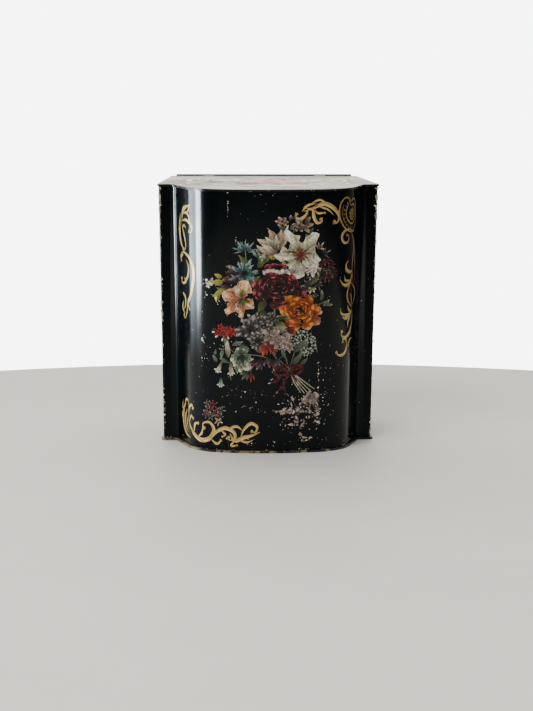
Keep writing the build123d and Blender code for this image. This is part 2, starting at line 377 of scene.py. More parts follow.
def unsigned(tree, a):
    return calc(tree, "ABSOLUTE", a)


def opposite(tree, a):
    # One less a value
    return minus(tree, 1.0, a)


def rising(tree, value, low, high, top=1.0):
    # Smooth step from 0 to top as the value goes from low to high
    spans = {"Value": value, "From Min": low, "From Max": high, "To Max": top}
    return place(tree, "ShaderNodeMapRange", spans, interpolation_type="SMOOTHSTEP").outputs["Result"]


def noise(tree, position, scale, detail=4.0, rough=0.6, warp=0.0):
    return place(tree, "ShaderNodeTexNoise", {"Vector": position, "Scale": scale, "Detail": detail,
                                              "Roughness": rough, "Distortion": warp}).outputs["Fac"]


def stretched(tree, position, factors):
    return place(tree, "ShaderNodeVectorMath", {0: position, 1: factors}, operation="MULTIPLY").outputs[0]


def blend(tree, factor, a, b):
    node = place(tree, "ShaderNodeMix", data_type="RGBA")
    for index, value in ((0, factor), (6, a), (7, b)):
        if isinstance(value, bpy.types.NodeSocket):
            tree.links.new(value, node.inputs[index])
        else:
            node.inputs[index].default_value = value
    return node.outputs[2]


def paint(*rgb):
    return (*linear(rgb), 1.0)


def newGroup(name, inputs, outputs):
    tree = bpy.data.node_groups.new(name, "ShaderNodeTree")
    for label, kind, value in inputs:
        socket = tree.interface.new_socket(name=label, in_out="INPUT", socket_type=kind)
        socket.default_value = value
    for label, kind in outputs:
        tree.interface.new_socket(name=label, in_out="OUTPUT", socket_type=kind)
    return tree, tree.nodes.new("NodeGroupInput").outputs, tree.nodes.new("NodeGroupOutput").inputs


def agedPaintGroup():
    # Chips, rubbed places, hand marks and relief, the same for the lacquer and the print on it
    tree, given, result = newGroup(
        "agedPaint",
        [("Position", "NodeSocketVector", (0, 0, 0)), ("Edge", "NodeSocketFloat", 0.0),
         ("Amount", "NodeSocketFloat", 0.0)],
        [("Chips", "NodeSocketFloat"), ("Rubbed", "NodeSocketFloat"), ("Smudge", "NodeSocketFloat"),
         ("Height", "NodeSocketFloat")])
    where = given["Position"]
    coarse = noise(tree, where, 210.0, 6.0, 0.68)
    fine = noise(tree, where, 900.0, 3.0, 0.6)
    mixed = plus(tree, times(tree, coarse, 0.72), times(tree, fine, 0.28))
    push = plus(tree, times(tree, given["Edge"], 0.2), given["Amount"])
    chips = rising(tree, plus(tree, mixed, push), 0.705, 0.72)
    rubbed = rising(tree, plus(tree, noise(tree, where, 420.0, 5.0, 0.7, 0.4), given["Amount"]), 0.64, 0.69)
    smudge = rising(tree, noise(tree, where, 26.0, 5.0, 0.62, 0.6), 0.35, 0.7)
    peel = times(tree, noise(tree, where, 38.0, 2.0, 0.5), 0.5)
    relief = minus(tree, plus(tree, peel, times(tree, fine, 0.02)), times(tree, chips, 0.12))
    for label, value in (("Chips", chips), ("Rubbed", rubbed), ("Smudge", smudge), ("Height", relief)):
        tree.links.new(value, result[label])
    return tree


bareZone = {"x": 22, "z": 22, "wide": 26, "high": 18}    # where the print has come away, in millimetres


def sheetEdgesGroup():
    # How near a point of the body is to an ear's tip, a back corner, the mouth or the foot, with a
    # second output for the lower middle, where the print has come away
    tree, given, result = newGroup("sheetEdges", [("Position", "NodeSocketVector", (0, 0, 0))],
                                   [("Edge", "NodeSocketFloat"), ("Bare", "NodeSocketFloat")])
    split = place(tree, "ShaderNodeSeparateXYZ", {0: given["Position"]}).outputs
    height = calc(tree, "DIVIDE", split["Z"], lidTop * mm)
    share = plus(tree, times(tree, height, 1 - tin["baseShare"]), tin["baseShare"])
    across = calc(tree, "DIVIDE", unsigned(tree, split["X"]), share)
    tip = rising(tree, across, (tin["halfWidth"] - 1.6) * mm, (tin["halfWidth"] - 0.1) * mm)
    corner = times(tree, rising(tree, across, (tin["backHalfWidth"] - 2.5) * mm, tin["backHalfWidth"] * mm),
                  rising(tree, split["Y"], (earsY + tin["backY"] - 4) * mm, (earsY + tin["backY"] - 1) * mm))
    mouth = rising(tree, split["Z"], (lidTop - 1.2) * mm, (lidTop - 0.4) * mm, 0.6)
    foot = opposite(tree, rising(tree, split["Z"], 1.5 * mm, 4.5 * mm))
    edge = calc(tree, "MAXIMUM", calc(tree, "MAXIMUM", tip, corner), calc(tree, "MAXIMUM", mouth, foot))
    sideways = calc(tree, "DIVIDE", minus(tree, split["X"], bareZone["x"] * mm), bareZone["wide"] * mm)
    upward = calc(tree, "DIVIDE", minus(tree, split["Z"], bareZone["z"] * mm), bareZone["high"] * mm)
    sideways = calc(tree, "POWER", unsigned(tree, sideways), 2.0)
    away = plus(tree, sideways, calc(tree, "POWER", unsigned(tree, upward), 2.0))
    bare = times(tree, opposite(tree, rising(tree, away, 0.1, 1.6)),
                opposite(tree, rising(tree, split["Y"], -20 * mm, -10 * mm)))
    tree.links.new(edge, result["Edge"])
    tree.links.new(bare, result["Bare"])
    return tree


agedPaint = agedPaintGroup()
sheetEdges = sheetEdgesGroup()


def newMaterial(name):
    material = bpy.data.materials.new(name)
    material.use_nodes = True
    tree = material.node_tree
    tree.nodes.clear()
    shader = place(tree, "ShaderNodeBsdfPrincipled")
    end = place(tree, "ShaderNodeOutputMaterial")
    tree.links.new(shader.outputs[0], end.inputs[0])
    where = place(tree, "ShaderNodeTexCoord").outputs["Object"]
    return material, tree, shader, where


def useGroup(tree, group, **inputs):
    return place(tree, "ShaderNodeGroup", inputs, node_tree=group).outputs


def bump(tree, height, strength, distance):
    return place(tree, "ShaderNodeBump", {"Height": height, "Strength": strength,
                                          "Distance": distance}).outputs[0]


def setShader(shader, tree, **values):
    for key, value in values.items():
        socket = shader.inputs[key.replace("_", " ")]
        if isinstance(value, bpy.types.NodeSocket):
            tree.links.new(value, socket)
        else:
            socket.default_value = value


def outerFace(tree, where, centre):
    # 1 on faces that look away from a point inside the tin, 0 on faces that look towards it
    facing = place(tree, "ShaderNodeTexCoord").outputs["Normal"]
    arm = place(tree, "ShaderNodeVectorMath", {0: where, 1: centre}, operation="SUBTRACT").outputs[0]
    dot = place(tree, "ShaderNodeVectorMath", {0: arm, 1: facing}, operation="DOT_PRODUCT").outputs["Value"]
    return rising(tree, dot, -0.0005, 0.0005)


def bareTinColour(tree, where):
    # Dull tinplate with spangle, stains and a few rust freckles
    spangle = noise(tree, where, 140.0, 2.0, 0.5, 1.2)
    stain = rising(tree, noise(tree, where, 30.0, 5.0, 0.65), 0.4, 0.75)
    rust = rising(tree, noise(tree, where, 260.0, 6.0, 0.7), 0.66, 0.74)
    colour = blend(tree, spangle, paint(128, 123, 112), paint(166, 162, 150))
    colour = blend(tree, times(tree, stain, 0.45), colour, paint(116, 92, 58))
    return blend(tree, rust, colour, paint(96, 52, 26)), spangle


def lacquerMaterial(name, centre, look):
    # Black japan outside and dull tin inside
    material, tree, shader, where = newMaterial(name)
    edges = useGroup(tree, sheetEdges, Position=where)
    amount = plus(tree, look["chipping"], times(tree, edges["Bare"], 0.035))
    edge = times(tree, edges["Edge"], look["edgeWear"])
    aged = useGroup(tree, agedPaint, Position=where, Edge=edge, Amount=amount)
    cloud = noise(tree, where, 12.0, 3.0, 0.5)
    black = blend(tree, cloud, paint(*look["black"]), paint(*look["blackWarm"]))
    facing = place(tree, "ShaderNodeSeparateXYZ",
                   {0: place(tree, "ShaderNodeTexCoord").outputs["Normal"]}).outputs
    dusty = rising(tree, noise(tree, where, 64.0, 5.0, 0.66, 0.5), 0.36, 0.66)
    dusty = times(tree, dusty, rising(tree, facing["Z"], 0.5, 0.9))
    black = blend(tree, times(tree, aged["Smudge"], 0.5), black, paint(*look["bloomed"]))
    black = blend(tree, times(tree, dusty, look["dust"]), black, paint(*look["dusty"]))
    metal = bareTinColour(tree, where)[0]
    exposed = blend(tree, noise(tree, where, 160.0, 2.0), paint(*look["primer"]), metal)
    outside = blend(tree, aged["Chips"], black, exposed)
    outer = outerFace(tree, where, centre)
    colour = blend(tree, outer, metal, outside)
    scratch = noise(tree, stretched(tree, where, (160.0, 160.0, 2200.0)), 1.0, 3.0, 0.7, 0.3)
    scratched = rising(tree, scratch, 0.62, 0.72)
    gloss = plus(tree, look["roughness"], times(tree, aged["Smudge"], look["smudge"]))
    gloss = plus(tree, gloss, times(tree, scratched, 0.06))
    gloss = plus(tree, gloss, times(tree, aged["Chips"], 0.25))
    split = place(tree, "ShaderNodeSeparateXYZ", {0: where}).outputs
    outward = unsigned(tree, split["X"])
    high = rising(tree, split["Z"], look["polishLow"], look["polishHigh"])
    turned = rising(tree, outward, 34 * mm, 46 * mm, look["polish"])
    ears = rising(tree, outward, 61 * mm, 62 * mm, look["earPolish"])
    fore = opposite(tree, rising(tree, split["Y"], (earsY + 1) * mm, (earsY + 4) * mm))
    dull = times(tree, rising(tree, outward, 61 * mm, 62 * mm, look["earDull"]), fore)
    coat = plus(tree, look["varnish"], times(tree, minus(tree, turned, ears), high))
    coat = times(tree, minus(tree, coat, dull), outer)
    for loss, share in ((aged["Smudge"], look["dull"]), (dusty, 0.7), (aged["Chips"], 1.0)):
        coat = times(tree, coat, opposite(tree, times(tree, loss, share)))
    inner = opposite(tree, outer)
    rough = plus(tree, times(tree, gloss, outer), times(tree, inner, 0.42))
    bareHere = calc(tree, "MAXIMUM", times(tree, aged["Chips"], 0.35), times(tree, inner, 0.75))
    setShader(shader, tree, Base_Color=colour, Roughness=rough, Metallic=bareHere,
              Normal=bump(tree, aged["Height"], 0.35, 0.0012), Specular_IOR_Level=look["specular"],
              Specular_Tint=paint(*look["sheen"]), Coat_Weight=coat, Coat_Roughness=look["varnishRough"])
    return material


def inkMaterial(name, look):
    # Printed ink under varnish: the tint painted on each petal, brushed along it, lightly mottled,
    # and worn with the lacquer under it
    material, tree, shader, where = newMaterial(name)
    tint = place(tree, "ShaderNodeAttribute", attribute_name="tint").outputs["Color"]
    along = place(tree, "ShaderNodeUVMap", uv_map="petal").outputs[0]
    split = place(tree, "ShaderNodeSeparateXYZ", {0: along}).outputs
    brush = noise(tree, stretched(tree, along, look["brush"]), 1.0, 4.0, 0.65, 0.5)
    dabs = noise(tree, where, look["dabScale"], 4.0, 0.7, 1.0)
    strokes = plus(tree, times(tree, rising(tree, brush, 0.3, 0.7), look["brushDepth"]),
                   1 - look["brushDepth"] * 0.5)
    spots = plus(tree, times(tree, rising(tree, dabs, 0.3, 0.7), look["dabDepth"]),
                 1 - look["dabDepth"] * 0.5)
    strength = times(tree, strokes, spots)
    if look.get("veins"):
        # Side veins slant away from a middle rib
        slant = plus(tree, times(tree, split["X"], 7.0), times(tree, unsigned(tree, split["Y"]), -2.4))
        ribs = calc(tree, "PINGPONG", slant, 0.5)
        rib = opposite(tree, rising(tree, ribs, 0.04, 0.14))
        middle = opposite(tree, rising(tree, unsigned(tree, split["Y"]), 0.04, 0.16))
        vein = calc(tree, "MAXIMUM", times(tree, rib, 0.45), middle)
        strength = plus(tree, strength, times(tree, vein, look["veins"]))
    if look.get("engraved"):
        # A dark line cut along the middle part of each stroke
        groove = unsigned(tree, minus(tree, split["Y"], 0.28))
        reach = times(tree, rising(tree, split["X"], 0.1, 0.25),
                      opposite(tree, rising(tree, split["X"], 0.6, 0.78)))
        cut = times(tree, opposite(tree, rising(tree, groove, 0.05, 0.16)), reach)
        strength = times(tree, strength, opposite(tree, times(tree, cut, look["engraved"])))
    rim = rising(tree, unsigned(tree, split["Y"]), 0.8, 1.0)
    strength = times(tree, strength, opposite(tree, times(tree, rim, look["outline"])))
    scaled = place(tree, "ShaderNodeVectorMath", {0: tint}, operation="SCALE")
    tree.links.new(strength, scaled.inputs["Scale"])
    edges = useGroup(tree, sheetEdges, Position=where)
    amount = plus(tree, look["wear"], times(tree, edges["Bare"], 0.06))
    aged = useGroup(tree, agedPaint, Position=where, Edge=edges["Edge"], Amount=amount)
    colour = blend(tree, times(tree, aged["Rubbed"], look["rubbed"]), scaled.outputs[0], paint(16, 16, 17))
    colour = blend(tree, aged["Chips"], colour, paint(196, 184, 168))
    rough = plus(tree, look["roughness"], times(tree, dabs, 0.15))
    setShader(shader, tree, Base_Color=colour, Roughness=rough, Metallic=look["metallic"],
              Normal=bump(tree, strength, 0.15, 0.0001), Specular_IOR_Level=look["specular"])
    return material


def metalMaterial(name, look):
    # Worn metal: paint left in patches over tin, grain, stains and grime
    material, tree, shader, where = newMaterial(name)
    metal, spangle = bareTinColour(tree, where)
    metal = blend(tree, look["tone"], metal, paint(*look["metal"]))
    split = place(tree, "ShaderNodeSeparateXYZ", {0: where}).outputs
    lean = rising(tree, split["X"], -0.05, 0.07, look["rightward"])
    left = plus(tree, noise(tree, where, look["patch"], 6.0, 0.7, 0.5), lean)
    left = plus(tree, left, look["painted"])
    cover = rising(tree, left, 0.48, 0.56)
    grime = rising(tree, noise(tree, where, 90.0, 5.0, 0.7), 0.5, 0.75)
    metal = blend(tree, times(tree, grime, 0.6), metal, paint(44, 34, 22))
    colour = blend(tree, cover, metal, paint(*look["paint"]))
    bareMetal = minus(tree, look["metallic"], times(tree, cover, look["metallic"]))
    rough = plus(tree, look["roughness"], times(tree, spangle, 0.2))
    relief = plus(tree, times(tree, cover, 0.3), noise(tree, where, 300.0, 3.0))
    setShader(shader, tree, Base_Color=colour, Roughness=rough, Metallic=bareMetal,
              Normal=bump(tree, relief, 0.25, 0.0002), Specular_IOR_Level=look["specular"])
    return material


lacquerLook = {
    "black": (1, 5, 7), "blackWarm": (4, 6, 7), "bloomed": (6, 14, 18), "primer": (196, 186, 170),
    "chipping": -0.005, "roughness": 0.13, "smudge": 0.12, "specular": 0.06, "varnish": 0.18,
    "varnishRough": 0.14,
    "polish": 0.54, "earPolish": 0.54, "earDull": 0.18, "polishLow": 0.045, "polishHigh": 0.115, "dull": 0.2,
    "edgeWear": 0.75, "dust": 0.0, "dusty": (90, 84, 62), "sheen": (246, 252, 255),
}
lidLook = {
    **lacquerLook, "black": (6, 7, 6), "bloomed": (10, 12, 10), "roughness": 0.24, "smudge": 0.16,
    "chipping": -0.02, "edgeWear": 0.1, "specular": 0.3, "varnish": 0.55, "varnishRough": 0.24,
    "polish": -0.25, "earPolish": 0.0, "earDull": 0.0, "dull": 0.6, "dust": 0.24,
    "sheen": (255, 249, 232),
}
insideBody = (0.0, earsY * mm + 0.02, 0.082)
insideLid = (0.0, 0.0, lidTop * mm - 0.0012)
materials = {
    "body": lacquerMaterial("blackJapanBody", insideBody, lacquerLook),
    "lid": lacquerMaterial("blackJapanLid", insideLid, lidLook),
    "petals": inkMaterial("petalInk", {
        "brush": (2.5, 9.0, 1.0), "brushDepth": 0.8, "dabScale": 520.0, "dabDepth": 0.8, "outline": 0.45,
        "wear": 0.03, "rubbed": 0.9, "roughness": 0.3, "metallic": 0.0, "specular": 0.3}),
    "leaves": inkMaterial("leafInk", {
        "brush": (3.0, 6.0, 1.0), "brushDepth": 0.6, "dabScale": 520.0, "dabDepth": 0.6,
        "outline": 0.4, "veins": 0.5,
        "wear": 0.035, "rubbed": 0.9, "roughness": 0.32, "metallic": 0.0, "specular": 0.3}),
    "gold": inkMaterial("goldInk", {
        "brush": (14.0, 2.5, 1.0), "brushDepth": 0.25, "dabScale": 420.0, "dabDepth": 0.3, "outline": 0.15,
        "engraved": 0.75, "wear": -0.02, "rubbed": 0.85, "roughness": 0.24, "metallic": 0.38,
        "specular": 0.45}),
    "flakes": inkMaterial("barePrimer", {
        "brush": (2.0, 2.0, 1.0), "brushDepth": 0.3, "dabScale": 700.0, "dabDepth": 0.4, "outline": 0.0,
        "wear": -0.4, "rubbed": 0.0, "roughness": 0.55, "metallic": 0.0, "specular": 0.3}),
    "seam": metalMaterial("wornSeam", {
        "tone": 0.6, "metal": (150, 124, 82), "rightward": 0.14, "patch": 130.0, "painted": 0.0,
        "paint": (14, 14, 14), "metallic": 0.75, "roughness": 0.32, "specular": 0.4}),
    "hinge": metalMaterial("hingePaint", {
        "tone": 0.2, "metal": (150, 140, 120), "rightward": 0.0, "patch": 200.0, "painted": 0.3,
        "paint": (5, 9, 11), "metallic": 0.8, "roughness": 0.3, "specular": 0.12}),
    "tin": metalMaterial("dullTin", {
        "tone": 0.1, "metal": (170, 166, 152), "rightward": 0.0, "patch": 200.0, "painted": -0.6,
        "paint": (60, 48, 30), "metallic": 0.85, "roughness": 0.3, "specular": 0.4}),
    "wire": metalMaterial("hingeWire", {
        "tone": 0.3, "metal": (120, 112, 100), "rightward": 0.0, "patch": 400.0, "painted": -0.5,
        "paint": (60, 40, 24), "metallic": 0.9, "roughness": 0.35, "specular": 0.4}),
}
for node, finish in {
    "front_panel": "body", "side_and_back_shell": "body", "lid_panel": "lid", "base_plate": "seam",
    "hinge_strip": "hinge", "hinge_wire": "wire", "lid_skirt": "tin",
    "hinge_strap_left": "tin", "hinge_strap_right": "tin",
}.items():
    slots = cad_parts[node].data.materials
    slots.clear()
    slots.append(materials[finish])
print("materials done")

openRose = [(6, 0.22, 0.8, 0.95), (5, 0.14, 0.56, 0.74), (5, 0.06, 0.36, 0.5), (4, 0.0, 0.2, 0.26)]


def finishPiece(sheet, name, ink, body="can"):
    return sheet.build(name, body, "printed_tinplate", materials[ink])


def printFlower(name, flower, ink="petals", wrap=wrapBody, body="can"):
    # Draws a flower's layers one after another, each a little above the last
    sheet = Sheet(wrap, flower["lift"], flower["step"])
    for draw, look in flower["layers"]:
        draw(sheet, **look)
    finishPiece(sheet, name, ink, body)


# Front bouquet, placed in millimetres by run along the plan and height
stalks = {
    "ink": "stalk", "shade": 0.45, "cutShade": 0.75, "cutWidth": 0.8,
    "lines": [    # each as its points and its width
        ([(12, 52), (8, 66), (3, 84), (2, 100)], 1.1), ([(11, 52), (-2, 60), (-12, 62), (-18, 62)], 0.7),
        ([(13, 52), (18, 62), (22, 72), (28, 70), (30, 63)], 0.6), ([(12, 53), (2, 62), (0, 70)], 0.7),
        ([(12, 52), (14, 60), (16, 66), (20, 76)], 0.6), ([(-5, 78), (-16, 76), (-25, 77)], 0.6),
        ([(-18, 61), (-24, 64), (-27, 68), (-27, 71)], 0.6),
        ([(-20, 60), (-26, 57), (-31, 57), (-32, 54)], 0.6),
        ([(-22, 58), (-26, 54), (-25, 46)], 0.5), ([(10, 52), (-2, 57), (-8, 56)], 0.5),
        ([(-6, 57), (-11, 55), (-13, 50)], 0.5),
        ([(8, 132), (8, 139), (9, 145)], 0.6), ([(12, 135), (15, 140), (17, 144)], 0.6),
        ([(-12, 112), (-15, 120), (-16, 127)], 0.7),
        ([(-16, 99), (-24, 101), (-31, 103)], 0.7), ([(24, 92), (30, 93), (35, 95)], 0.5),
        ([(20, 112), (28, 116), (34, 121)], 0.6),
        ([(2, 57), (8, 62), (11, 70)], 0.5), ([(-38, 24), (-33, 28), (-29, 29)], 0.5),
    ],
    "cut": [    # the stalks that stand out below the bow
        [(13.5, 50), (17, 44), (22, 37.5)], [(14, 50), (18.5, 44), (24, 38)],
        [(14.5, 50), (20, 44.5), (26.5, 38.5)],
        [(13, 50), (15.5, 44), (19.5, 38)], [(15, 50), (21, 45.5), (28.5, 40)],
    ],
}
green = Sheet(wrapBody, 0.03, 0.0015)
for points, width in stalks["lines"]:
    stem(green, points, width, stalks["ink"], stalks["shade"])
for points in stalks["cut"]:
    stem(green, points, stalks["cutWidth"], stalks["ink"], stalks["cutShade"], (1.0, 0.7))
finishPiece(green, "printed_stems", "leaves")

foliage = {
    "lift": 0.05, "step": 0.0015,
    "layers": [
        (leaves, dict(rows=[(-13, 118, 155, 9, 3.4), (-8, 116, 60, 8, 3.6), (-12, 110, 100, 7, 3.2),
                            (-22, 116, 170, 6, 2.4), (-4, 119, 70, 6, 3.4), (-14, 105, 40, 9, 4.2),
                            (-26, 104, 190, 7, 3.4), (-22, 108, 150, 7, 3.6), (-3, 96, 230, 9, 4.6),
                            (-4, 90, 260, 8, 4.4), (-24, 110, 200, 7, 3.2), (2, 122, 95, 8, 5.0),
                            (22, 106, 20, 9, 4.2), (27, 110, 350, 7, 3.2)], ink="leaf", seed=3)),
        (leaves, dict(rows=[(-35, 107.5, 200, 6.2, 3.6), (-30, 106.5, 175, 6.5, 4.0),
                            (-32.5, 101, 240, 6.5, 3.8), (-28.5, 102.5, 215, 6.5, 3.8),
                            (-30.5, 109.5, 150, 5.0, 3.0), (2, 121, 115, 6, 4.2), (6, 121.5, 60, 6, 4.0),
                            (10.5, 84, 20, 8, 4.6)], ink="lime", seed=4, base=0.35)),
        (leaves, dict(rows=[(33, 92, 30, 6, 2.6), (32, 95, 75, 5, 2.3), (35, 93, 350, 5, 2.2),
                            (33, 98, 110, 4, 2), (30, 99, 200, 5, 2.4), (8, 88, 330, 10, 5.6),
                            (9, 82, 10, 9.5, 5.2), (14, 84, 150, 8, 4), (15, 63, 62, 11, 4.0),
                            (18, 61, 40, 10, 3.6), (12, 64, 82, 9, 3.2), (20, 66, 70, 7, 2.8),
                            (14, 56, 48, 9, 3.6), (19, 56, 25, 6, 2.4), (9, 60, 100, 6, 2.4),
                            (-27, 65, 95, 9, 3.4), (-24, 68, 20, 7, 2.6), (-20, 68, 340, 7, 2.6),
                            (-27, 57, 150, 6, 2.4), (-22, 55, 300, 5, 2.4), (-34, 57, 120, 5, 2.4),
                            (-9, 64, 20, 8, 3.0), (-6, 66, 150, 7, 2.6), (-35, 61, 100, 4, 2.0),
                            (-30, 65, 250, 6, 2.4)], ink="greyLeaf", seed=5)),
        (leaves, dict(rows=[(8.5, 139, 140, 5, 2.4), (12, 139, 60, 5, 2.2), (17.5, 139, 40, 5, 2.2),
                            (24, 137, 60, 4, 2), (-10, 124, 40, 5, 2.4), (-10, 125, 340, 5, 2.2),
                            (-8, 121, 10, 5, 2.4)], ink="greyLeaf", seed=6)),
    ],
}
printFlower("printed_leaves", foliage, ink="leaves")
print("stems and leaves done")

buds = {
    "lift": 0.08, "step": 0.0012,
    "layers": [
        (bloom, dict(x=6.8, y=144.4, radius=3.6, ink="blush",
                     rings=[(6, 0.1, 0.95, 0.6), (4, 0.0, 0.5, 0.5)], seed=11, squash=(1.15, 0.8), base=-0.1,
                     rise=0.7, streak=0.2)),
        (bloom, dict(x=17.2, y=142.0, radius=4.2, ink="blush",
                     rings=[(6, 0.1, 0.95, 0.56), (4, 0.0, 0.5, 0.5)], seed=12, squash=(0.9, 1.0),
                     base=-0.15, rise=0.7, streak=0.2)),
        (petals, dict(x=[19.5, 20.5, 20], y=[141, 143, 140], angle=[16, 48, -24], length=[7, 5.6, 5],
                      width=[3.0, 2.4, 2.2], ink="blush", seed=13, base=0.0, rise=0.5)),
        (petals, dict(x=[11.5, 12, 13], y=[144.5, 142.5, 146], angle=[80, 300, 30], length=[4, 3.5, 3],
                      width=[2.0, 1.8, 1.6], ink="mauve", seed=14)),
    ],
}
printFlower("printed_pink_buds", buds)

cornflower = {
    "ink": "teal", "fringe": 0.2, "leafInk": "greyLeaf",
    "heads": [    # x, y, radius, squash, the way it faces, florets and how far round they spread
        (-15.9, 126.2, 6.2, (1.0, 0.9), 90, 26, (-100, 100)),
        (-17.0, 112.6, 8.6, (0.95, 0.86), 0, 40, (0, 360)),
    ],
}
cornflowers = Sheet(wrapBody, 0.08, 0.0008)
for x, y, radius, squash, turn, count, (low, high) in cornflower["heads"]:
    dice = np.random.default_rng(int(radius * 10))
    spread = dice.uniform(low, high, count)
    petals(cornflowers, x, y, turn + spread, radius * dice.uniform(0.45, 1.0, count),
           radius * cornflower["fringe"], cornflower["ink"], bend=dice.uniform(-40, 40, count),
           squash=squash, about=(x, y), seed=17, roundness=0.8, peak=0.78, ruffle=0.5,
           base=-0.05, rise=0.85, rim=0.1, rows=9, columns=5)
petals(cornflowers, [-8.4, -8.6, -8.2], [121, 122.5, 120], [75, 130, 20], [4.5, 3.6, 3.4], [1.8, 1.6, 1.5],
       cornflower["leafInk"], seed=18, base=0.1)
finishPiece(cornflowers, "printed_cornflowers", "petals")

violets = {
    "lift": 0.08, "step": 0.0012,
    "layers": [
        (petals, dict(x=[-23, -24, -22, -20, -25, -21, -24, -22], y=[106, 108, 104, 109, 104, 106, 110, 111],
                      angle=[150, 112, 200, 78, 172, 132, 140, 100], length=[6.5, 6, 5.5, 5.5, 5, 5, 5, 5],
                      width=[2.6, 2.4, 2.4, 2.2, 2.2, 2.0, 2.2, 2.2], ink="wine", seed=15, base=-0.05,
                      rise=0.55, ruffle=0.2)),
        (petals, dict(x=[-20, -23, -19], y=[104, 112, 108], angle=[210, 120, 150], length=[6, 5.5, 6],
                      width=[2.6, 2.4, 2.4], ink="mauve", seed=16, base=0.0, ruffle=0.2)),
    ],
}
printFlower("printed_violets", violets)

fuchsia = {
    "length": [3.6, 4.6, 3.4, 2.4], "width": [1.2, 1.4, 1.2, 1.0],
    "heads": [    # x, y, the way it hangs, ink
        (29.5, 125.5, 40, "blush"), (32.5, 122.5, 10, "mauve"), (34.5, 119, 300, "crimson"),
        (37.5, 117, 290, "wine"), (32, 118, 260, "wine"),
        (38.5, 113, 280, "wine"), (35, 114, 270, "mauve"), (40, 112, 260, "wine"), (29, 113.5, 280, "blush"),
        (31.5, 112.5, 300, "mauve"),
        (27, 109.5, 250, "mauve"), (30.5, 108.5, 280, "mauve"), (25, 112.5, 280, "wine"),
        (24.0, 103.5, 180, "mauve"), (26.5, 102.0, 240, "cream"),
        (23.5, 101.5, 200, "stalk"), (29.5, 104.5, 280, "mauve"), (33, 109.5, 280, "wine"),
        (36.5, 109.5, 270, "wine"),
    ],
}
sprays = Sheet(wrapBody, 0.08, 0.0008)
for n, (x, y, turn, kind) in enumerate(fuchsia["heads"]):
    petals(sprays, x, y + 2, [turn - 30, turn, turn + 32, turn + 70], fuchsia["length"],
           fuchsia["width"], kind, bend=[-30, 12, 36, 20], seed=20 + n,
           base=-0.1, rise=0.75, ruffle=0.3, rows=9, columns=5)
finishPiece(sprays, "printed_fuchsia_spray", "petals")

blushLily = {
    "lift": 0.1, "step": 0.002,
    "layers": [
        (petals, dict(x=[4.5, 4, 4, 5, 4], y=[128, 128, 127, 127, 126], angle=[112, 84, 146, 62, 200],
                      length=[13, 12, 13, 15, 13], width=[5.4, 5.0, 6.4, 4.6, 4.6], ink="blush",
                      bend=[12, -10, 12, 16, -74], peak=0.46, roundness=0.9, ruffle=0.12, seed=31, base=0.02,
                      rise=0.7, streak=0.18, rows=15, columns=11)),
        (petals, dict(x=[3.5, 4, 3], y=[127, 126.5, 126], angle=[128, 98, 166], length=[10, 9, 9],
                      width=[4.2, 3.4, 3.6], ink="cream", bend=[10, -8, -30], peak=0.5, roundness=0.9,
                      ruffle=0.12, seed=32, base=0.0, rise=0.75, streak=0.18, rows=13)),
        (petals, dict(x=[-3.5, 7.0], y=[124.5, 121], angle=[238, 300], length=[6, 7.5], width=[2.6, 2.4],
                      ink="cream", bend=[-120, -40], peak=0.5, seed=33, base=0.2)),
    ],
}
printFlower("printed_blush_lily", blushLily)

whiteLily = {
    "lift": 0.12, "step": 0.002,
    "layers": [
        (petals, dict(x=18.1, y=124.2, angle=[110, 52, -8, 318, 256, 176],
                      length=[15.4, 14.4, 11.6, 13.4, 13.0, 14.0], width=[8.4, 9.2, 8.4, 9.6, 11.6, 9.4],
                      ink="cream", bend=[18, -12, -16, 12, 8, 12], peak=0.62, roundness=0.56, ruffle=0.2,
                      seed=33, base=0.12, rise=0.72, rim=0.16, streak=0.16, rows=19, columns=15)),
        (petals, dict(x=18.1, y=124.2, angle=[120, 66, 300, 236, 190], length=[10, 9, 9, 9.5, 9],
                      width=[4.0, 3.6, 4.4, 5.0, 4.6], ink="cream", bend=[-8, 10, 12, -10, 8], peak=0.56,
                      roundness=0.7, ruffle=0.2, seed=34, base=-0.05, rise=0.8, streak=0.2,
                      rows=15, columns=11)),
        (petals, dict(x=18.3, y=124, angle=np.arange(12) * 30 + 8,
                      length=[4.2, 5.6, 4.4, 5.2, 4.0, 6.4, 4.8, 5.0, 4.2, 5.8, 4.4, 5.2], width=1.3,
                      ink="mauve", peak=0.7, roundness=1.0, seed=35, base=0.1, rise=0.3, rows=7, columns=5)),
        (petals, dict(x=18.4, y=124.4, angle=np.arange(9) * 40 + 20,
                      length=[3.6, 2.6, 3.4, 2.8, 4.0, 3.2, 3.8, 2.6, 3.4], width=1.5, ink="brown", peak=0.7,
                      roundness=0.9, seed=36, base=0.1, rise=0.8, ruffle=0.3, rows=7, columns=5)),
    ],
}
printFlower("printed_white_lily", whiteLily)
print("lilies done")

smallRed = {
    "lift": 0.12, "step": 0.0015,
    "layers": [
        (cabbage, dict(x=3.8, y=115.4, radius=8.4, heart=2.0, ink="crimson", rings=[(7, 1.0), (5, 0.6)],
                       seed=40, squash=0.42, base=0.1, rise=0.7, rim=0.4)),
    ],
}
printFlower("printed_small_red_rose", smallRed)

crimsonRose = {
    "lift": 0.14, "step": 0.0012,
    "layers": [
        (cabbage, dict(x=4.8, y=102.4, radius=15.4, heart=4.4, ink="crimson",
                       rings=[(7, 1.0), (6, 0.8), (6, 0.6), (5, 0.43), (4, 0.28), (3, 0.15)],
                       seed=44, squash=0.74, roundness=0.42, peak=0.64, ruffle=0.1, base=-0.3,
                       rise=0.5, rim=0.66, streak=0.14, rows=19, columns=17)),
    ],
}
printFlower("printed_crimson_rose", crimsonRose)

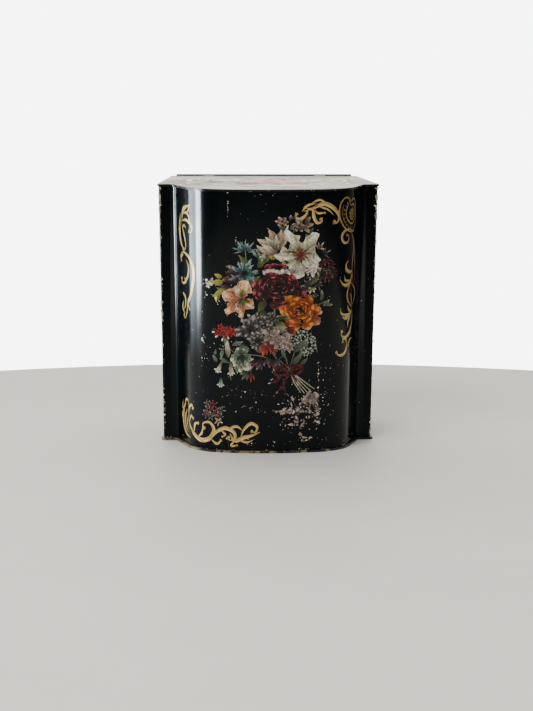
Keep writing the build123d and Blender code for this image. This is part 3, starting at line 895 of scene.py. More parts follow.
peachFlower = {
    "lift": 0.14, "step": 0.0018,
    "layers": [
        (petals, dict(x=-18.5, y=97, angle=[160, 232, 268, 330, 64, 108],
                      length=[10.5, 11.5, 10.0, 8.5, 10.0, 8.5], width=[8.4, 8.4, 6.8, 6.8, 9.4, 7.0],
                      ink="peach", bend=[10, -10, 12, -14, 16, -12], peak=0.68, roundness=0.46, ruffle=0.2,
                      seed=43, base=0.12, rise=0.62, rim=0.26, streak=0.16, rows=17, columns=13)),
        (petals, dict(x=-18, y=97, angle=[70, 120, 240, 320], length=[7.5, 7, 7.5, 6.5],
                      width=[4.0, 4.2, 3.6, 4], ink="blush", peak=0.62, roundness=0.6, ruffle=0.2, seed=44,
                      base=0.0, rise=0.8, streak=0.2)),
        (petals, dict(x=-18.4, y=97.5, angle=[78, 96, 250, 330, 300], length=[6, 5, 6.6, 7.0, 6.0],
                      width=[1.6, 1.4, 2.0, 2.4, 1.8], ink="lime", seed=45, base=-0.05, rise=0.5,
                      rows=9, columns=5)),
    ],
}
printFlower("printed_peach_flower", peachFlower)

orangeRose = {
    "lift": 0.18, "step": 0.0012,
    "layers": [
        (petals, dict(x=[22, 26, 17, 27], y=[84, 85.5, 83, 90], angle=[285, 318, 250, 345],
                      length=[6.4, 6.4, 5.5, 5.5], width=[6.6, 6.0, 5.6, 5.6], ink="peach", peak=0.68,
                      roundness=0.46, ruffle=0.16, seed=47, base=0.0, rise=0.6)),
        (cabbage, dict(x=18.4, y=88.6, radius=12.0, heart=2.6, ink="orange",
                       rings=[(6, 1.0), (5, 0.76), (5, 0.52), (4, 0.32), (3, 0.17)], seed=52, squash=0.84,
                       roundness=0.44, peak=0.66, ruffle=0.16, base=0.0, rise=0.58, rim=0.34, streak=0.08,
                       rows=17, columns=15)),
    ],
}
printFlower("printed_orange_rose", orangeRose)
print("roses done")

mauveFlowers = {
    "ink": "mauve", "rings": [(7, 0.12, 0.9, 0.56), (6, 0.05, 0.55, 0.36)],
    "heads": [    # x, y, radius, turn
        (-3.5, 80.5, 6.4, 50), (0.5, 84.5, 4.6, 20), (-9.5, 83.0, 5.4, 30), (-12.8, 77.4, 8.6, 15),
        (-8.0, 71.0, 5.6, 70),
    ],
    "wornInk": "pinkPrimer", "wornRings": [(6, 0.12, 0.9, 0.6)],
    "wornHeads": [(6.5, 74.8, 6.4), (0.5, 74.0, 5.4), (9.5, 69.5, 4.8), (4.6, 70.0, 4.4), (11.8, 66.6, 3.2)],
}
mauves = Sheet(wrapBody, 0.1, 0.0012)
for n, (x, y, radius, turn) in enumerate(mauveFlowers["heads"]):
    bloom(mauves, x, y, radius, mauveFlowers["ink"], mauveFlowers["rings"], seed=50 + n, turn=turn,
          squash=(1.0, 0.9), peak=0.62, roundness=0.56, ruffle=0.26, base=-0.25, rise=1.0,
          rim=0.25, streak=0.18)
for n, (x, y, radius) in enumerate(mauveFlowers["wornHeads"]):
    bloom(mauves, x, y, radius, mauveFlowers["wornInk"], mauveFlowers["wornRings"], seed=55 + n, turn=25 * n,
          squash=(1.0, 0.9), peak=0.6, roundness=0.7, ruffle=0.26, base=0.1, rise=0.4, streak=0.12)
petals(mauves, [8.4, 9, 10, 11], [79, 78, 77, 76.4], [40, 8, 340, 5], [6, 7, 6, 5], [2.4, 2.2, 2.2, 1.8],
       "rust", seed=58, base=0.1, rise=0.8)
petals(mauves, [2, 3.4, 6, 4.5], [83, 84.5, 85.5, 82.5], [340, 20, 355, 325], [7, 6, 6, 6],
       [3, 2.6, 2.6, 2.4], "leaf", seed=59, base=0.2, rise=0.7, streak=0.25)
finishPiece(mauves, "printed_mauve_flowers", "petals")

cluster = {
    "ink": "scarlet", "x": -28.9, "y": 76.4, "count": 24, "reach": 5.4, "wide": 1.15, "high": 0.7,
    "smallest": 1.2, "largest": 2.3,
}
berries = Sheet(wrapBody, 0.1, 0.0006)
dice = np.random.default_rng(60)
for n in range(cluster["count"]):
    way = dice.uniform(0, 2 * pi)
    far = cluster["reach"] * dice.uniform(0, 1) ** 0.6
    bloom(berries, cluster["x"] + cluster["wide"] * far * np.cos(way),
          cluster["y"] + cluster["high"] * far * np.sin(way),
          dice.uniform(cluster["smallest"], cluster["largest"]), cluster["ink"], [(5, 0.1, 0.9, 0.6)],
          seed=61 + n, base=0.05, rise=0.6, rim=0.3, ruffle=0.3, rows=7, columns=5)
petals(berries, [-33, -30, -27, -35], [73.5, 72.5, 73.5, 76], [200, 250, 290, 190], [2.2, 2.4, 2.0, 2.2],
       1.0, "cream", seed=62, base=0.4, rows=7, columns=5)
finishPiece(berries, "printed_red_cluster", "petals")

tulip = {
    "lift": 0.14, "step": 0.0015,
    "layers": [
        (petals, dict(x=-1.2, y=72.5, angle=[222, 318, 245, 296, 262, 280],
                      length=[9, 9, 10.5, 10, 9.5, 8.5], width=[3.6, 3.6, 4.2, 4.2, 3.6, 2.6], ink="rust",
                      bend=[30, -30, 10, -10, 4, -4], peak=0.45, roundness=0.62, ruffle=0.2, seed=75,
                      base=0.1, rise=0.45, rim=0.3, streak=0.22)),
    ],
}
printFlower("printed_red_tulip", tulip)

forgetMeNots = {
    "ink": "sky", "eyeInk": "stalk", "radius": 1.9, "eye": 0.6, "inChain": 10,
    "chain": [(14.6, 73.6), (18, 75.4), (22, 74.8), (26.0, 72.5), (27.6, 69.0), (26.6, 65.0), (22.5, 62.6)],
    "others": [(15.8, 70.4), (18.0, 71.4), (24.6, 64.4), (21.0, 64.6), (24.6, 70.6)],
}
forget = Sheet(wrapBody, 0.1, 0.0005)
chain = smoothLine(forgetMeNots["chain"], forgetMeNots["inChain"])
for n, (x, y) in enumerate(np.concatenate([chain, forgetMeNots["others"]])):
    bloom(forget, x, y, forgetMeNots["radius"], forgetMeNots["ink"], [(5, 0.3, 0.72, 0.62)], seed=80 + n,
          turn=17 * n, base=0.1, rise=0.85, ruffle=0.25, rows=7, columns=5)
    bloom(forget, x, y, forgetMeNots["eye"], forgetMeNots["eyeInk"], [(4, 0.0, 0.9, 0.9)], seed=80 + n,
          base=-0.2, rise=0.2, rows=5, columns=5)
finishPiece(forget, "printed_forget_me_nots", "petals")

bellflower = {
    "cup": dict(x=-17.9, y=61.5, angle=[200, 236, 262, 296, 330, 80, 130],
                length=[7.2, 8.6, 9.4, 9.0, 7.6, 4.6, 5.2],
                width=[6.0, 6.0, 6.0, 6.0, 6.0, 7.0, 6.0], ink="greyLeaf",
                bend=[16, 10, 4, -10, -16, 6, -6], peak=0.72, roundness=0.46, ruffle=0.16, seed=101,
                base=0.2, rise=0.52, rim=0.4, streak=0.2, rows=15, columns=11),
    "cupFolds": dict(x=-18, y=62, angle=[230, 275, 315], length=[5.4, 6.0, 5.4], width=[2.0, 2.2, 2.0],
                     ink="greyLeaf", peak=0.6, seed=104, base=-0.15, rise=0.5),
    "bud": dict(x=[-26.6, -27.2], y=[60.0, 60.5], angle=[95, 98], length=[10.5, 8], width=[3.2, 1.6],
                ink="cream", peak=0.45, roundness=0.75, seed=102, base=0.1, rise=0.5),
    "cupLip": dict(x=[-18.5, -17, -20], y=[55.5, 56, 57], angle=[250, 290, 215], length=[3.6, 3.4, 3.4],
                   width=[3.4, 3.2, 3.0], ink="cream", seed=105, base=0.0, rise=0.7, ruffle=0.3),
    "tubes": [(-31.2, 57, 246, 5.6, "cream"), (-25.8, 58.4, 276, 8.6, "cream"),
              (-31.6, 47.6, 268, 4.6, "sky")],
}
bells = Sheet(wrapBody, 0.1, 0.0012)
for part in ("cup", "cupFolds", "bud", "cupLip"):
    petals(bells, **bellflower[part])
for x, y, turn, long, kind in bellflower["tubes"]:
    # A narrow tube with a small flared lip
    petals(bells, [x, x + 0.5], y, [turn, turn + 3], [long, long * 0.9], [2.3, 1.2], kind, bend=6, peak=0.7,
           roundness=0.6, seed=int(103 + turn), base=0.0, rise=0.6, streak=0.2, ruffle=0.12)
    way = radians(turn)
    petals(bells, x + 0.86 * long * cos(way), y + 0.86 * long * sin(way),
           [turn - 46, turn - 14, turn + 14, turn + 46], [2.8, 2.6, 2.6, 2.8], [1.2, 1.3, 1.3, 1.2],
           kind, bend=[-40, -10, 10, 40], peak=0.5, seed=int(106 + turn), base=0.25, rise=0.6,
           rows=9, columns=5)
finishPiece(bells, "printed_bellflowers", "petals")

drooping = {
    "length": [5.0, 5.0, 6.0, 4.0], "width": [1.6, 1.6, 1.9, 0.9],
    "heads": [    # x, y, the way it hangs, ink
        (-6, 60, 262, "wine"), (-2.5, 60.5, 285, "mauve"), (-9.5, 59.5, 248, "wine"),
        (0.5, 59.5, 285, "wine"), (-12, 51.5, 262, "rust"), (-5, 58, 230, "mauve"),
        (-14.2, 51.5, 232, "greyLeaf"), (3.0, 60.0, 300, "mauve"),
    ],
}
drops = Sheet(wrapBody, 0.1, 0.001)
for n, (x, y, turn, kind) in enumerate(drooping["heads"]):
    petals(drops, x, y, [turn - 22, turn + 22, turn, turn + 8], drooping["length"], drooping["width"], kind,
           bend=[-20, 20, 4, 0], peak=0.6, seed=110 + n, base=-0.1, rise=0.7, ruffle=0.16, streak=0.2)
finishPiece(drops, "printed_drooping_flowers", "petals")

cornerSprig = {
    "radius": 2.5, "rings": [(5, 0.1, 0.95, 0.4), (3, 0.0, 0.5, 0.4)],
    "heads": [    # x, y, ink
        (-41, 27, "wine"), (-38.5, 27.5, "crimson"), (-35, 24.5, "crimson"), (-38.5, 22.5, "mauve"),
        (-42.5, 23.5, "wine"), (-32.5, 22.5, "mauve"), (-41, 30.5, "mauve"),
        (-31.5, 26.5, "greyLeaf"), (-36.5, 30, "crimson"), (-33.5, 19.5, "blush"),
    ],
}
sprig = Sheet(wrapBody, 0.1, 0.001)
for n, (x, y, kind) in enumerate(cornerSprig["heads"]):
    bloom(sprig, x, y, cornerSprig["radius"], kind, cornerSprig["rings"], seed=120 + n,
          turn=30 * n, base=-0.1, rise=0.9, ruffle=0.3, rows=7, columns=5)
finishPiece(sprig, "printed_corner_sprig", "petals")

ribbonBow = {
    "ink": "ribbon", "edge": 0.12, "shade": 0.2, "folds": 0.42,
    "loops": [    # each as its points and its width
        ([(12, 50.5), (14.5, 54.4), (18.4, 55.4), (20.4, 52.8), (17.6, 50.0), (12.5, 49.6)], 1.9),
        ([(12, 51), (15, 52.8), (19, 53.4)], 1.5),
        ([(12, 50), (8, 53.6), (4.0, 53.8), (2.4, 51.0), (5.4, 49.2), (11.5, 50)], 1.9),
        ([(11.4, 51), (8, 52.4), (4.4, 51.8)], 1.3),
        ([(11, 50), (6.5, 48.5), (3.5, 45.5), (0.6, 44.5)], 2.0),
        ([(12.0, 49.5), (9, 45.5), (8.0, 42), (3.8, 38.6)], 1.8),
        ([(13, 54.8), (9, 55.6), (5, 54.6)], 1.2), ([(13, 50), (15.5, 47.5), (16.8, 45)], 1.4),
        ([(6, 42.4), (8.6, 41.0), (9.8, 38.6)], 1.2),
    ],
}
bow = Sheet(wrapBody, 0.16, 0.0012)
for points, width in ribbonBow["loops"]:
    line = smoothLine(points, 14 * len(points))
    k = np.linspace(0, 1, len(line))
    shade = ribbonBow["shade"] + ribbonBow["folds"] * np.sin(3.4 * pi * k) ** 2
    ribbonAlong(bow, line, width / 2 * (0.35 + 0.65 * np.sin(pi * k)) + ribbonBow["edge"],
                ribbonBow["ink"], shade)
petals(bow, [3.2, 2.0, 0.6, 5.0], [51.5, 47.0, 44.5, 39.0], [130, 200, 190, 220], [1.9, 1.6, 1.8, 1.5], 0.9,
       "blush", seed=131, base=0.1, ruffle=0.3)
bloom(bow, 12.2, 50.6, 1.7, ribbonBow["ink"], [(5, 0.1, 0.9, 0.8)], seed=130, base=0.1)
finishPiece(bow, "printed_ribbon_bow", "petals")
print("bouquet done")

# Gold scrollwork, from the thin end to the drop: (points, width, size of the drop as a share of the width)
leftScroll = [
    ([(-53.5, 153), (-60, 151.5), (-66, 147.5), (-68.5, 141)], 1.8, 0),
    ([(-70.5, 147), (-72.5, 138), (-71, 130), (-67, 125.5), (-64.5, 124.8)], 2.8, 0.9),
    ([(-68.5, 141), (-65, 135), (-61.5, 129.5), (-61.5, 126), (-64, 124.5)], 1.6, 0.9),
    ([(-66.5, 147), (-59.5, 148), (-55.5, 145), (-57, 141.5)], 1.6, 0.9),
    ([(-69, 142), (-62, 143.5), (-55.5, 142.5), (-52.5, 139), (-54, 136), (-56.5, 137)], 1.9, 1.0),
    ([(-68.5, 144), (-66, 150), (-60.5, 153)], 1.3, 0),
    ([(-67, 138), (-64, 140), (-61, 138.5)], 1.2, 0.9), ([(-55, 153), (-56.5, 149.5), (-60, 148)], 1.2, 0),
    ([(-70, 117.5), (-71, 120.5), (-66, 123), (-57, 121), (-52.5, 116), (-51.5, 108), (-54, 99), (-58.5, 91),
      (-61, 85), (-64.5, 81.5), (-67, 84)], 2.5, 0.9),
    ([(-66, 121.5), (-70.5, 119.5), (-69.5, 116.8)], 1.5, 1.0),
    ([(-61, 119), (-57.5, 115), (-58, 109.5), (-63, 104.5), (-69, 103.5), (-70, 107)], 2.1, 1.0),
    ([(-56.5, 112), (-60, 106.5), (-65, 106.5)], 1.3, 0.8),
    ([(-68.5, 97.5), (-63.5, 95), (-63, 90.5), (-66.5, 86.5)], 1.9, 0),
    ([(-55, 97), (-58.5, 92.5), (-56, 87.5)], 1.4, 0.9), ([(-67, 92.5), (-68.5, 87.5), (-64, 84)], 1.3, 0),
]
topScroll = [
    ([(20, 150.5), (26, 152.5), (33, 155), (39.5, 152), (43.5, 147), (42, 143), (39, 144)], 2.7, 0.9),
    ([(23, 152.5), (21.5, 148.5), (18, 145.8), (15, 147.2), (15.8, 149.8)], 1.9, 1.0),
    ([(21, 152.5), (25.5, 151.5), (26.5, 147), (28.5, 143.5), (31.5, 144.2), (30.5, 146.5)], 2.1, 1.0),
    ([(27, 151.5), (29, 149.4), (34, 149.6)], 1.4, 0.9),
    ([(25, 155.6), (30, 157.4), (35, 155)], 1.3, 0), ([(19, 150.5), (22, 154), (28, 155.5)], 1.5, 0),
    ([(29, 153.4), (35, 151.6), (39.6, 147.6)], 1.2, 0),
]
rightScroll = [
    ([(60, 136.5), (55, 138), (49.5, 137.6), (46.4, 134.4), (48.2, 130.6), (52.6, 130.6), (53.6, 134),
      (50.4, 135)], 1.8, 0.9),
    ([(57, 136.5), (61.5, 131), (62.8, 125), (61.5, 118), (60.5, 112.5), (62.5, 107), (66, 101.5)], 1.6, 0),
    ([(62, 134), (66, 124), (67.5, 112), (67, 103)], 1.0, 0),
    ([(60.5, 111.5), (55.5, 111.5), (51.5, 113.5), (51.5, 117), (54, 118.8)], 2.4, 0),
    ([(61, 113), (59, 107), (54, 103.5), (48.5, 104.2), (45.2, 107.8)], 2.6, 0),
    ([(57, 106), (51, 106.5), (49.5, 110.2)], 1.7, 0),
    ([(57, 103.5), (53.5, 99), (54.5, 93.5), (61, 88.5)], 1.5, 0),
    ([(59, 104.5), (67, 100), (68, 94.5), (61.5, 88.5)], 1.4, 0),
    ([(58.5, 98), (60.5, 94), (61, 89)], 1.8, 0),
    ([(62, 89), (60, 85.5), (54, 84.5), (47.5, 86), (46.2, 89.8)], 2.3, 0),
    ([(60, 86), (56, 87.5), (53.6, 91)], 2.0, 0),
    ([(58, 84.5), (52, 82.6), (48, 84)], 2.1, 0), ([(59, 84), (55, 80), (55.5, 76.6)], 2.1, 0),
    ([(63, 87), (62.5, 79.5), (57.5, 73), (51.5, 70.8), (47.8, 72.5), (48.4, 75.8)], 2.3, 1.0),
    ([(52.5, 68.6), (54.3, 66.6), (53, 62.4), (49.5, 60), (45.5, 60.2), (43, 62.8)], 1.9, 1.0),
    ([(54, 66.5), (52.6, 69.6), (49.8, 69.8), (49.4, 67.4)], 1.5, 1.0),
    ([(63.5, 69), (58.5, 68.4), (56, 64.4)], 1.5, 1.0), ([(64, 80), (60.5, 75.5), (58.5, 70.5)], 1.2, 0),
]
cornerScroll = [
    ([(-65.5, 28), (-70, 22), (-70.5, 14), (-65.5, 8), (-58, 6.2)], 3.2, 0),
    ([(-63.5, 24), (-66.5, 18), (-65.5, 12), (-61, 9)], 1.9, 0), ([(-62, 20), (-63, 14), (-60, 11)], 1.3, 0),
    ([(-67, 25), (-66, 29), (-62, 30), (-60, 27)], 1.6, 1.0), ([(-69, 20), (-72, 24), (-71, 28.5)], 1.4, 0),
    ([(-70, 16), (-73, 18), (-73, 21.5)], 1.2, 0),
    ([(-60, 23), (-59.5, 16), (-53, 9.5), (-46, 6.6), (-39.5, 8.5), (-36.6, 14), (-39.5, 18.4),
      (-44.5, 17.2), (-43.5, 13.4)], 2.8, 0.9),
    ([(-60.5, 20), (-59.5, 25), (-55.8, 27.6), (-53.6, 25)], 2.0, 1.1),
    ([(-59, 16.5), (-56.6, 20.4), (-53.2, 19)], 1.6, 1.0), ([(-53, 10.5), (-52, 16), (-48, 17.2)], 1.7, 1.0),
    ([(-49, 8), (-45.5, 11.5), (-45, 15.5)], 1.3, 0),
    ([(-40, 6.2), (-35, 12.5), (-29, 15.4), (-23.5, 13), (-22.6, 9), (-26, 7.8), (-27.6, 10.2)], 2.4, 1.0),
    ([(-38.5, 8), (-34.5, 5.2), (-31.4, 8)], 1.6, 1.0),
    ([(-26, 12), (-22.5, 7.5), (-17.5, 9.5), (-12, 11), (-6.4, 13.4)], 2.4, 0),
    ([(-19, 9.5), (-17, 14.5), (-12.5, 18.6), (-8.4, 16.8), (-9.4, 13.2), (-12.6, 14)], 2.0, 1.0),
    ([(-27, 15.2), (-21.5, 16.6), (-17.8, 14.2)], 1.7, 0),
    ([(-22.6, 8), (-25, 4.4), (-20.6, 4.8)], 1.4, 0.9), ([(-32, 14), (-29, 11.4), (-31.4, 9.4)], 1.3, 0.9),
    ([(-20.5, 8.4), (-15, 6.8), (-10.6, 8.4)], 1.3, 0),
]


def goldPiece(name, strokes, lift=0.04, wrap=wrapBody, body="can", mirror=1, ink="gold"):
    sheet = Sheet(wrap, lift, 0.0015)
    for points, width, drop in strokes:
        points = [(x * mirror, y) for x, y in points]
        tendril(sheet, points, width, drop, ink)
        if width > 2.4:
            # Leaf lobes along the outer side of the broad strokes
            line = smoothLine(points, 60)
            turn = np.sign(np.cross(line[30] - line[0], line[-1] - line[30]) + 1e-9)
            at = (np.array([0.2, 0.36, 0.52]) * 59).astype(int)
            ahead = line[at + 1] - line[at]
            heading = np.degrees(np.arctan2(ahead[:, 1], ahead[:, 0])) - turn * 30
            petals(sheet, line[at, 0], line[at, 1], heading, width * np.array([1.3, 1.5, 1.3]),
                   width * 0.45, ink, bend=turn * 55, peak=0.45, roundness=0.8, seed=145,
                   base=0.35, rise=0.3, rows=9, columns=5)
    return finishPiece(sheet, name, "gold", body)


goldPiece("gold_scroll_left", leftScroll)
goldPiece("gold_scroll_top", topScroll)
goldPiece("gold_scroll_right", rightScroll)
goldPiece("gold_scroll_corner", cornerScroll)

shell = {
    "x": 56.5, "y": 147.6, "beads": 10, "beadWide": 7.3, "beadHigh": 7.8,
    "flowerX": 57.4, "flowerY": 147.4, "ribs": 9,
    "lines": [    # each as its points and its width
        ([(54.5, 153.2), (53.4, 157), (49.2, 158), (45.2, 155), (43.8, 150), (45, 144.4), (49, 139.5),
          (55, 136.8), (62, 136.6)], 1.1),
        ([(56, 155.5), (60.5, 157), (64.5, 153.5), (66, 147), (65, 140.5), (61, 136.6)], 1.0),
        ([(52.4, 154), (50, 150), (51, 145.4), (55, 142), (59.4, 141.4)], 1.0),
        ([(56, 153), (60.5, 153.4), (63.5, 149), (63, 144), (59, 141.4)], 0.9),
        ([(47.4, 153.6), (46.2, 149.6), (47.4, 145), (50.6, 141)], 0.35),
    ],
}
medal = Sheet(wrapBody, 0.05, 0.0012)
for points, width in shell["lines"]:
    line = smoothLine(points, 60)
    ribbonAlong(medal, line, width / 2 * (0.5 + 0.5 * np.sin(np.linspace(0.3, pi - 0.3, 60))), "gold", 0.6)
beads = np.radians(np.linspace(112, 262, shell["beads"]))
petals(medal, shell["x"] + shell["beadWide"] * np.cos(beads), shell["y"] + shell["beadHigh"] * np.sin(beads),
       np.degrees(beads), 2.0, 0.8, "gold", peak=0.55, seed=140, base=0.45, rise=0.2, rows=5, columns=5)
ribs = np.arange(shell["ribs"]) * 360.0 / shell["ribs"]
petals(medal, shell["flowerX"], shell["flowerY"], ribs, 3.8, 1.5, "gold", peak=0.7, seed=141,
       base=0.2, rise=0.5, rows=7, columns=5)
finishPiece(medal, "gold_shell", "gold")
print("gold done")

# Lid print, placed in millimetres on the lid's flat top
lidFlowers = {
    "lift": 0.03, "step": 0.0015,
    "layers": [
        (leaves, dict(rows=[(-6, 22, 130, 14, 6), (14, 20, 50, 13, 6), (-16, 4, 200, 14, 6),
                            (22, 2, 340, 14, 6), (4, -10, 280, 12, 6), (-28, 18, 160, 12, 5),
                            (32, 16, 20, 12, 5), (-10, -8, 230, 12, 5), (18, -8, 310, 12, 5)],
                            ink="greyLeaf", seed=150)),
        (bloom, dict(x=-24, y=16, radius=12, ink="paleCream",
                     rings=[(6, 0.12, 0.9, 0.6), (5, 0.05, 0.5, 0.4)], seed=151, ruffle=0.14)),
        (bloom, dict(x=26, y=12, radius=10, ink="paleCream",
                     rings=[(6, 0.12, 0.9, 0.66), (5, 0.05, 0.5, 0.4)], seed=152, ruffle=0.14)),
        (cabbage, dict(x=1, y=6, radius=16, heart=2.0, ink="palePeach",
                       rings=[(7, 1.0), (6, 0.78), (5, 0.56), (4, 0.34), (3, 0.18)], seed=153, squash=0.95,
                       roundness=0.45, peak=0.66, ruffle=0.12, base=0.05, rise=0.5, rim=0.5, streak=0.1,
                       rows=15, columns=13)),
        (cabbage, dict(x=-13, y=-10, radius=8, heart=1.0, ink="crimson",
                       rings=[(6, 1.0), (5, 0.66), (4, 0.36)], seed=154, squash=0.95, roundness=0.5,
                       ruffle=0.12, base=0.0, rim=0.5)),
        (cabbage, dict(x=18, y=-8, radius=7.5, heart=1.0, ink="palePeach",
                       rings=[(6, 1.0), (5, 0.66), (4, 0.36)], seed=155, squash=0.95, roundness=0.5,
                       ruffle=0.12, base=-0.1, rim=0.4)),
        (bloom, dict(x=-34, y=3, radius=6, ink="sky", rings=[(12, 0.2, 0.85, 0.26), (9, 0.1, 0.6, 0.24)],
                     seed=156, ruffle=0.3, roundness=0.9)),
        (bloom, dict(x=8, y=26, radius=6, ink="sky", rings=[(6, 0.12, 0.9, 0.6), (5, 0.05, 0.5, 0.4)],
                     seed=157, ruffle=0.2)),
    ],
}
printFlower("lid_bouquet", lidFlowers, wrap=wrapLid, body="lid")
lidScroll = [
    ([(36, -8), (45, -2), (50, 10), (48, 24), (40, 31), (34, 26), (38, 21)], 3.4, 1.0),
    ([(48, 4), (41, 8), (38, 15), (42, 18)], 2.2, 1.0),
    ([(50, 12), (56, 20), (56, 33), (49, 43), (42, 41), (44, 36)], 2.6, 1.0),
    ([(41, -5), (36, -14), (27, -20), (20, -17), (23, -13)], 2.6, 1.0),
    ([(46, 0), (51, -8), (47, -17), (41, -16)], 2.0, 1.0), ([(54, 28), (49, 31), (47, 38)], 2.0, 0.9),
    ([(34, -16), (33, -23), (27, -27)], 1.8, 0.9),
    ([(50, 16), (44, 18), (43, 25)], 1.8, 0.9), ([(49, -4), (56, -2), (58, 5)], 1.8, 0.9),
]
goldPiece("lid_scroll_right", lidScroll, wrap=wrapLid, body="lid", ink="paleGold")
goldPiece("lid_scroll_left", lidScroll, wrap=wrapLid, body="lid", mirror=-1, ink="paleGold")

# Sides and back: a fine gold line with corner scrolls round a small spray
border = {"inset": 8.0, "low": 12.0, "high": 151.0, "width": 0.8, "corner": 20.0}
cornerStrokes = [
    ([(18, 0), (10, 1.4), (5, 4), (1.4, 9), (0.4, 14), (3.4, 16.4), (5.2, 13.6)], 1.9, 0.9),
    ([(2, 7), (6.4, 8.6), (9, 13.4), (6.6, 15)], 1.5, 1.0),
    ([(8, 2.4), (9.6, 7), (14.4, 8.4), (15, 5.6)], 1.5, 1.0), ([(20, 0.3), (13, 3.4), (7, 3.4)], 1.2, 0),
    ([(0.2, 22), (-0.6, 14), (1.4, 8)], 1.2, 0),
]


def borderCorners(sheet, corners, mirror):
    # Scrolls at corners given as (run, height, inward, upward)
    for run, level, inward, upward in corners:
        for points, width, drop in cornerStrokes:
            tendril(sheet, [((run + inward * x) * mirror, level + upward * y) for x, y in points],
                    width, drop, "gold")


def borderLines(sheet, lines, mirror):
    for points in lines:
        line = smoothLine([(x * mirror, y) for x, y in points], 60)
        ribbonAlong(sheet, line, np.full(60, border["width"] / 2), "gold", 0.5)


def borderedPanel(name, left, right, mirror, spray):
    sheet = Sheet(wrapBody, 0.04, 0.0015)
    low, high, inset, reach = border["low"], border["high"], border["inset"], border["corner"]
    a, b = left + inset, right - inset
    borderCorners(sheet, [(a, low, 1, 1), (a, high, 1, -1), (b, low, -1, 1), (b, high, -1, -1)], mirror)
    borderLines(sheet, [[(a, low + reach), (a, 80), (a, high - reach)],
                        [(b, low + reach), (b, 80), (b, high - reach)],
                        [(a + reach, low), ((a + b) / 2, low), (b - reach, low)],
                        [(a + reach, high), ((a + b) / 2, high), (b - reach, high)]], mirror)
    finishPiece(sheet, "gold_border_" + name, "gold")
    flowers = Sheet(wrapBody, 0.05, 0.002)
    x, y = (left + right) / 2 * mirror, 84
    stem(flowers, [(x, y - 26), (x + 2, y - 12), (x, y)], 0.9, "stalk")
    leaves(flowers, [(x + dx, y + dy, angle, 11, 4.6) for dx, dy, angle in
                     [(1, -14, 30), (0, -18, 150), (-6, -4, 190), (7, -2, 340), (-3, 8, 120), (4, 9, 60),
                      (1, -22, 20)]], "greyLeaf", seed=160 + spray)
    bloom(flowers, x, y, 10, "peach", openRose, seed=161 + spray, roundness=0.5, ruffle=0.12,
          base=0.1, rim=0.25)
    bloom(flowers, x - 8, y - 9, 6, "cream", [(6, 0.12, 0.9, 0.6), (5, 0.05, 0.5, 0.4)],
          seed=162 + spray, ruffle=0.14)
    bloom(flowers, x + 9, y - 8, 5.5, "teal", [(12, 0.2, 0.85, 0.26), (9, 0.1, 0.6, 0.24)], seed=163 + spray,
          ruffle=0.3, roundness=0.9)
    bloom(flowers, x + 6, y + 10, 5.5, "orange", openRose, seed=164 + spray, roundness=0.5, ruffle=0.12)
    finishPiece(flowers, "printed_spray_" + name, "petals")


borderedPanel("right", earRun, cornerRun, 1, 0)
borderedPanel("left", earRun, cornerRun, -1, 10)
backBorder = Sheet(wrapBody, 0.04, 0.0015)
for mirror in (1, -1):
    a = cornerRun + border["inset"] + 2
    low, high, reach = border["low"], border["high"], border["corner"]
    borderCorners(backBorder, [(a, low, 1, 1), (a, high, 1, -1)], mirror)
    borderLines(backBorder, [[(a, low + reach), (a, 80), (a, high - reach)],
                             [(a + reach, low), (a + 30, low), (backRun, low)],
                             [(a + reach, high), (a + 30, high), (backRun, high)]], mirror)
finishPiece(backBorder, "gold_border_back", "gold")
print("lid and side print done")

# Paint flakes: (run, height, spread across, spread up, count, smallest, largest, ink)
flakeFields = [
    (31.0, 40, 0.7, 26, 30, 0.15, 0.6, "primer"), (24, 29, 9, 3.4, 34, 0.2, 0.9, "pinkPrimer"),
    (14, 30, 8, 6, 34, 0.2, 1.2, "pinkPrimer"),
    (17, 19, 8, 6, 34, 0.25, 1.3, "pinkPrimer"), (25.5, 34.5, 4.0, 2.4, 60, 0.9, 2.2, "pinkPrimer"),
    (9, 26.5, 6, 1.0, 24, 0.4, 1.5, "pinkPrimer"),
    (22, 26, 8, 0.5, 36, 0.3, 0.8, "pinkPrimer"), (30, 22, 1.6, 9, 26, 0.25, 0.8, "primer"),
    (23, 9, 5, 2, 16, 0.2, 1.0, "primer"),
    (-14, 37, 10, 5, 16, 0.15, 0.7, "pinkPrimer"), (-27, 38, 8, 6, 14, 0.12, 0.45, "pinkPrimer"),
    (-10, 27, 10, 2, 8, 0.2, 0.7, "pinkPrimer"),
    (-38, 106, 4, 2.6, 24, 0.25, 1.0, "primer"), (-36, 97, 5, 4, 12, 0.2, 0.6, "primer"),
    (-44, 71, 2, 2, 9, 0.2, 0.8, "primer"),
    (-30, 66, 7, 5, 16, 0.15, 0.5, "primer"), (-26.5, 152, 0.35, 5, 18, 0.12, 0.45, "pinkPrimer"),
    (-21, 133, 0.8, 5, 7, 0.12, 0.4, "primer"),
    (23, 138, 5, 4, 8, 0.15, 0.5, "primer"), (14, 113.6, 10, 0.8, 90, 0.3, 1.2, "primer"),
    (26, 112, 3, 3, 22, 0.3, 1.0, "primer"),
    (-22, 92, 10, 6, 12, 0.15, 0.5, "primer"), (8, 68, 5, 4, 22, 0.3, 1.1, "pinkPrimer"),
    (35, 40, 6, 18, 20, 0.12, 0.45, "primer"),
    (-45, 60, 10, 40, 30, 0.1, 0.32, "primer"), (0, 80, 60, 75, 260, 0.07, 0.26, "primer"),
    (0, 6, 60, 4, 44, 0.12, 0.5, "primer"),
    (0, 161, 50, 1.2, 12, 0.1, 0.35, "primer"), (20, 30, 18, 14, 80, 0.1, 0.45, "primer"),
    (48, 60, 14, 60, 40, 0.08, 0.3, "primer"),
    (75, 60, 12, 60, 30, 0.1, 0.35, "primer"),
]
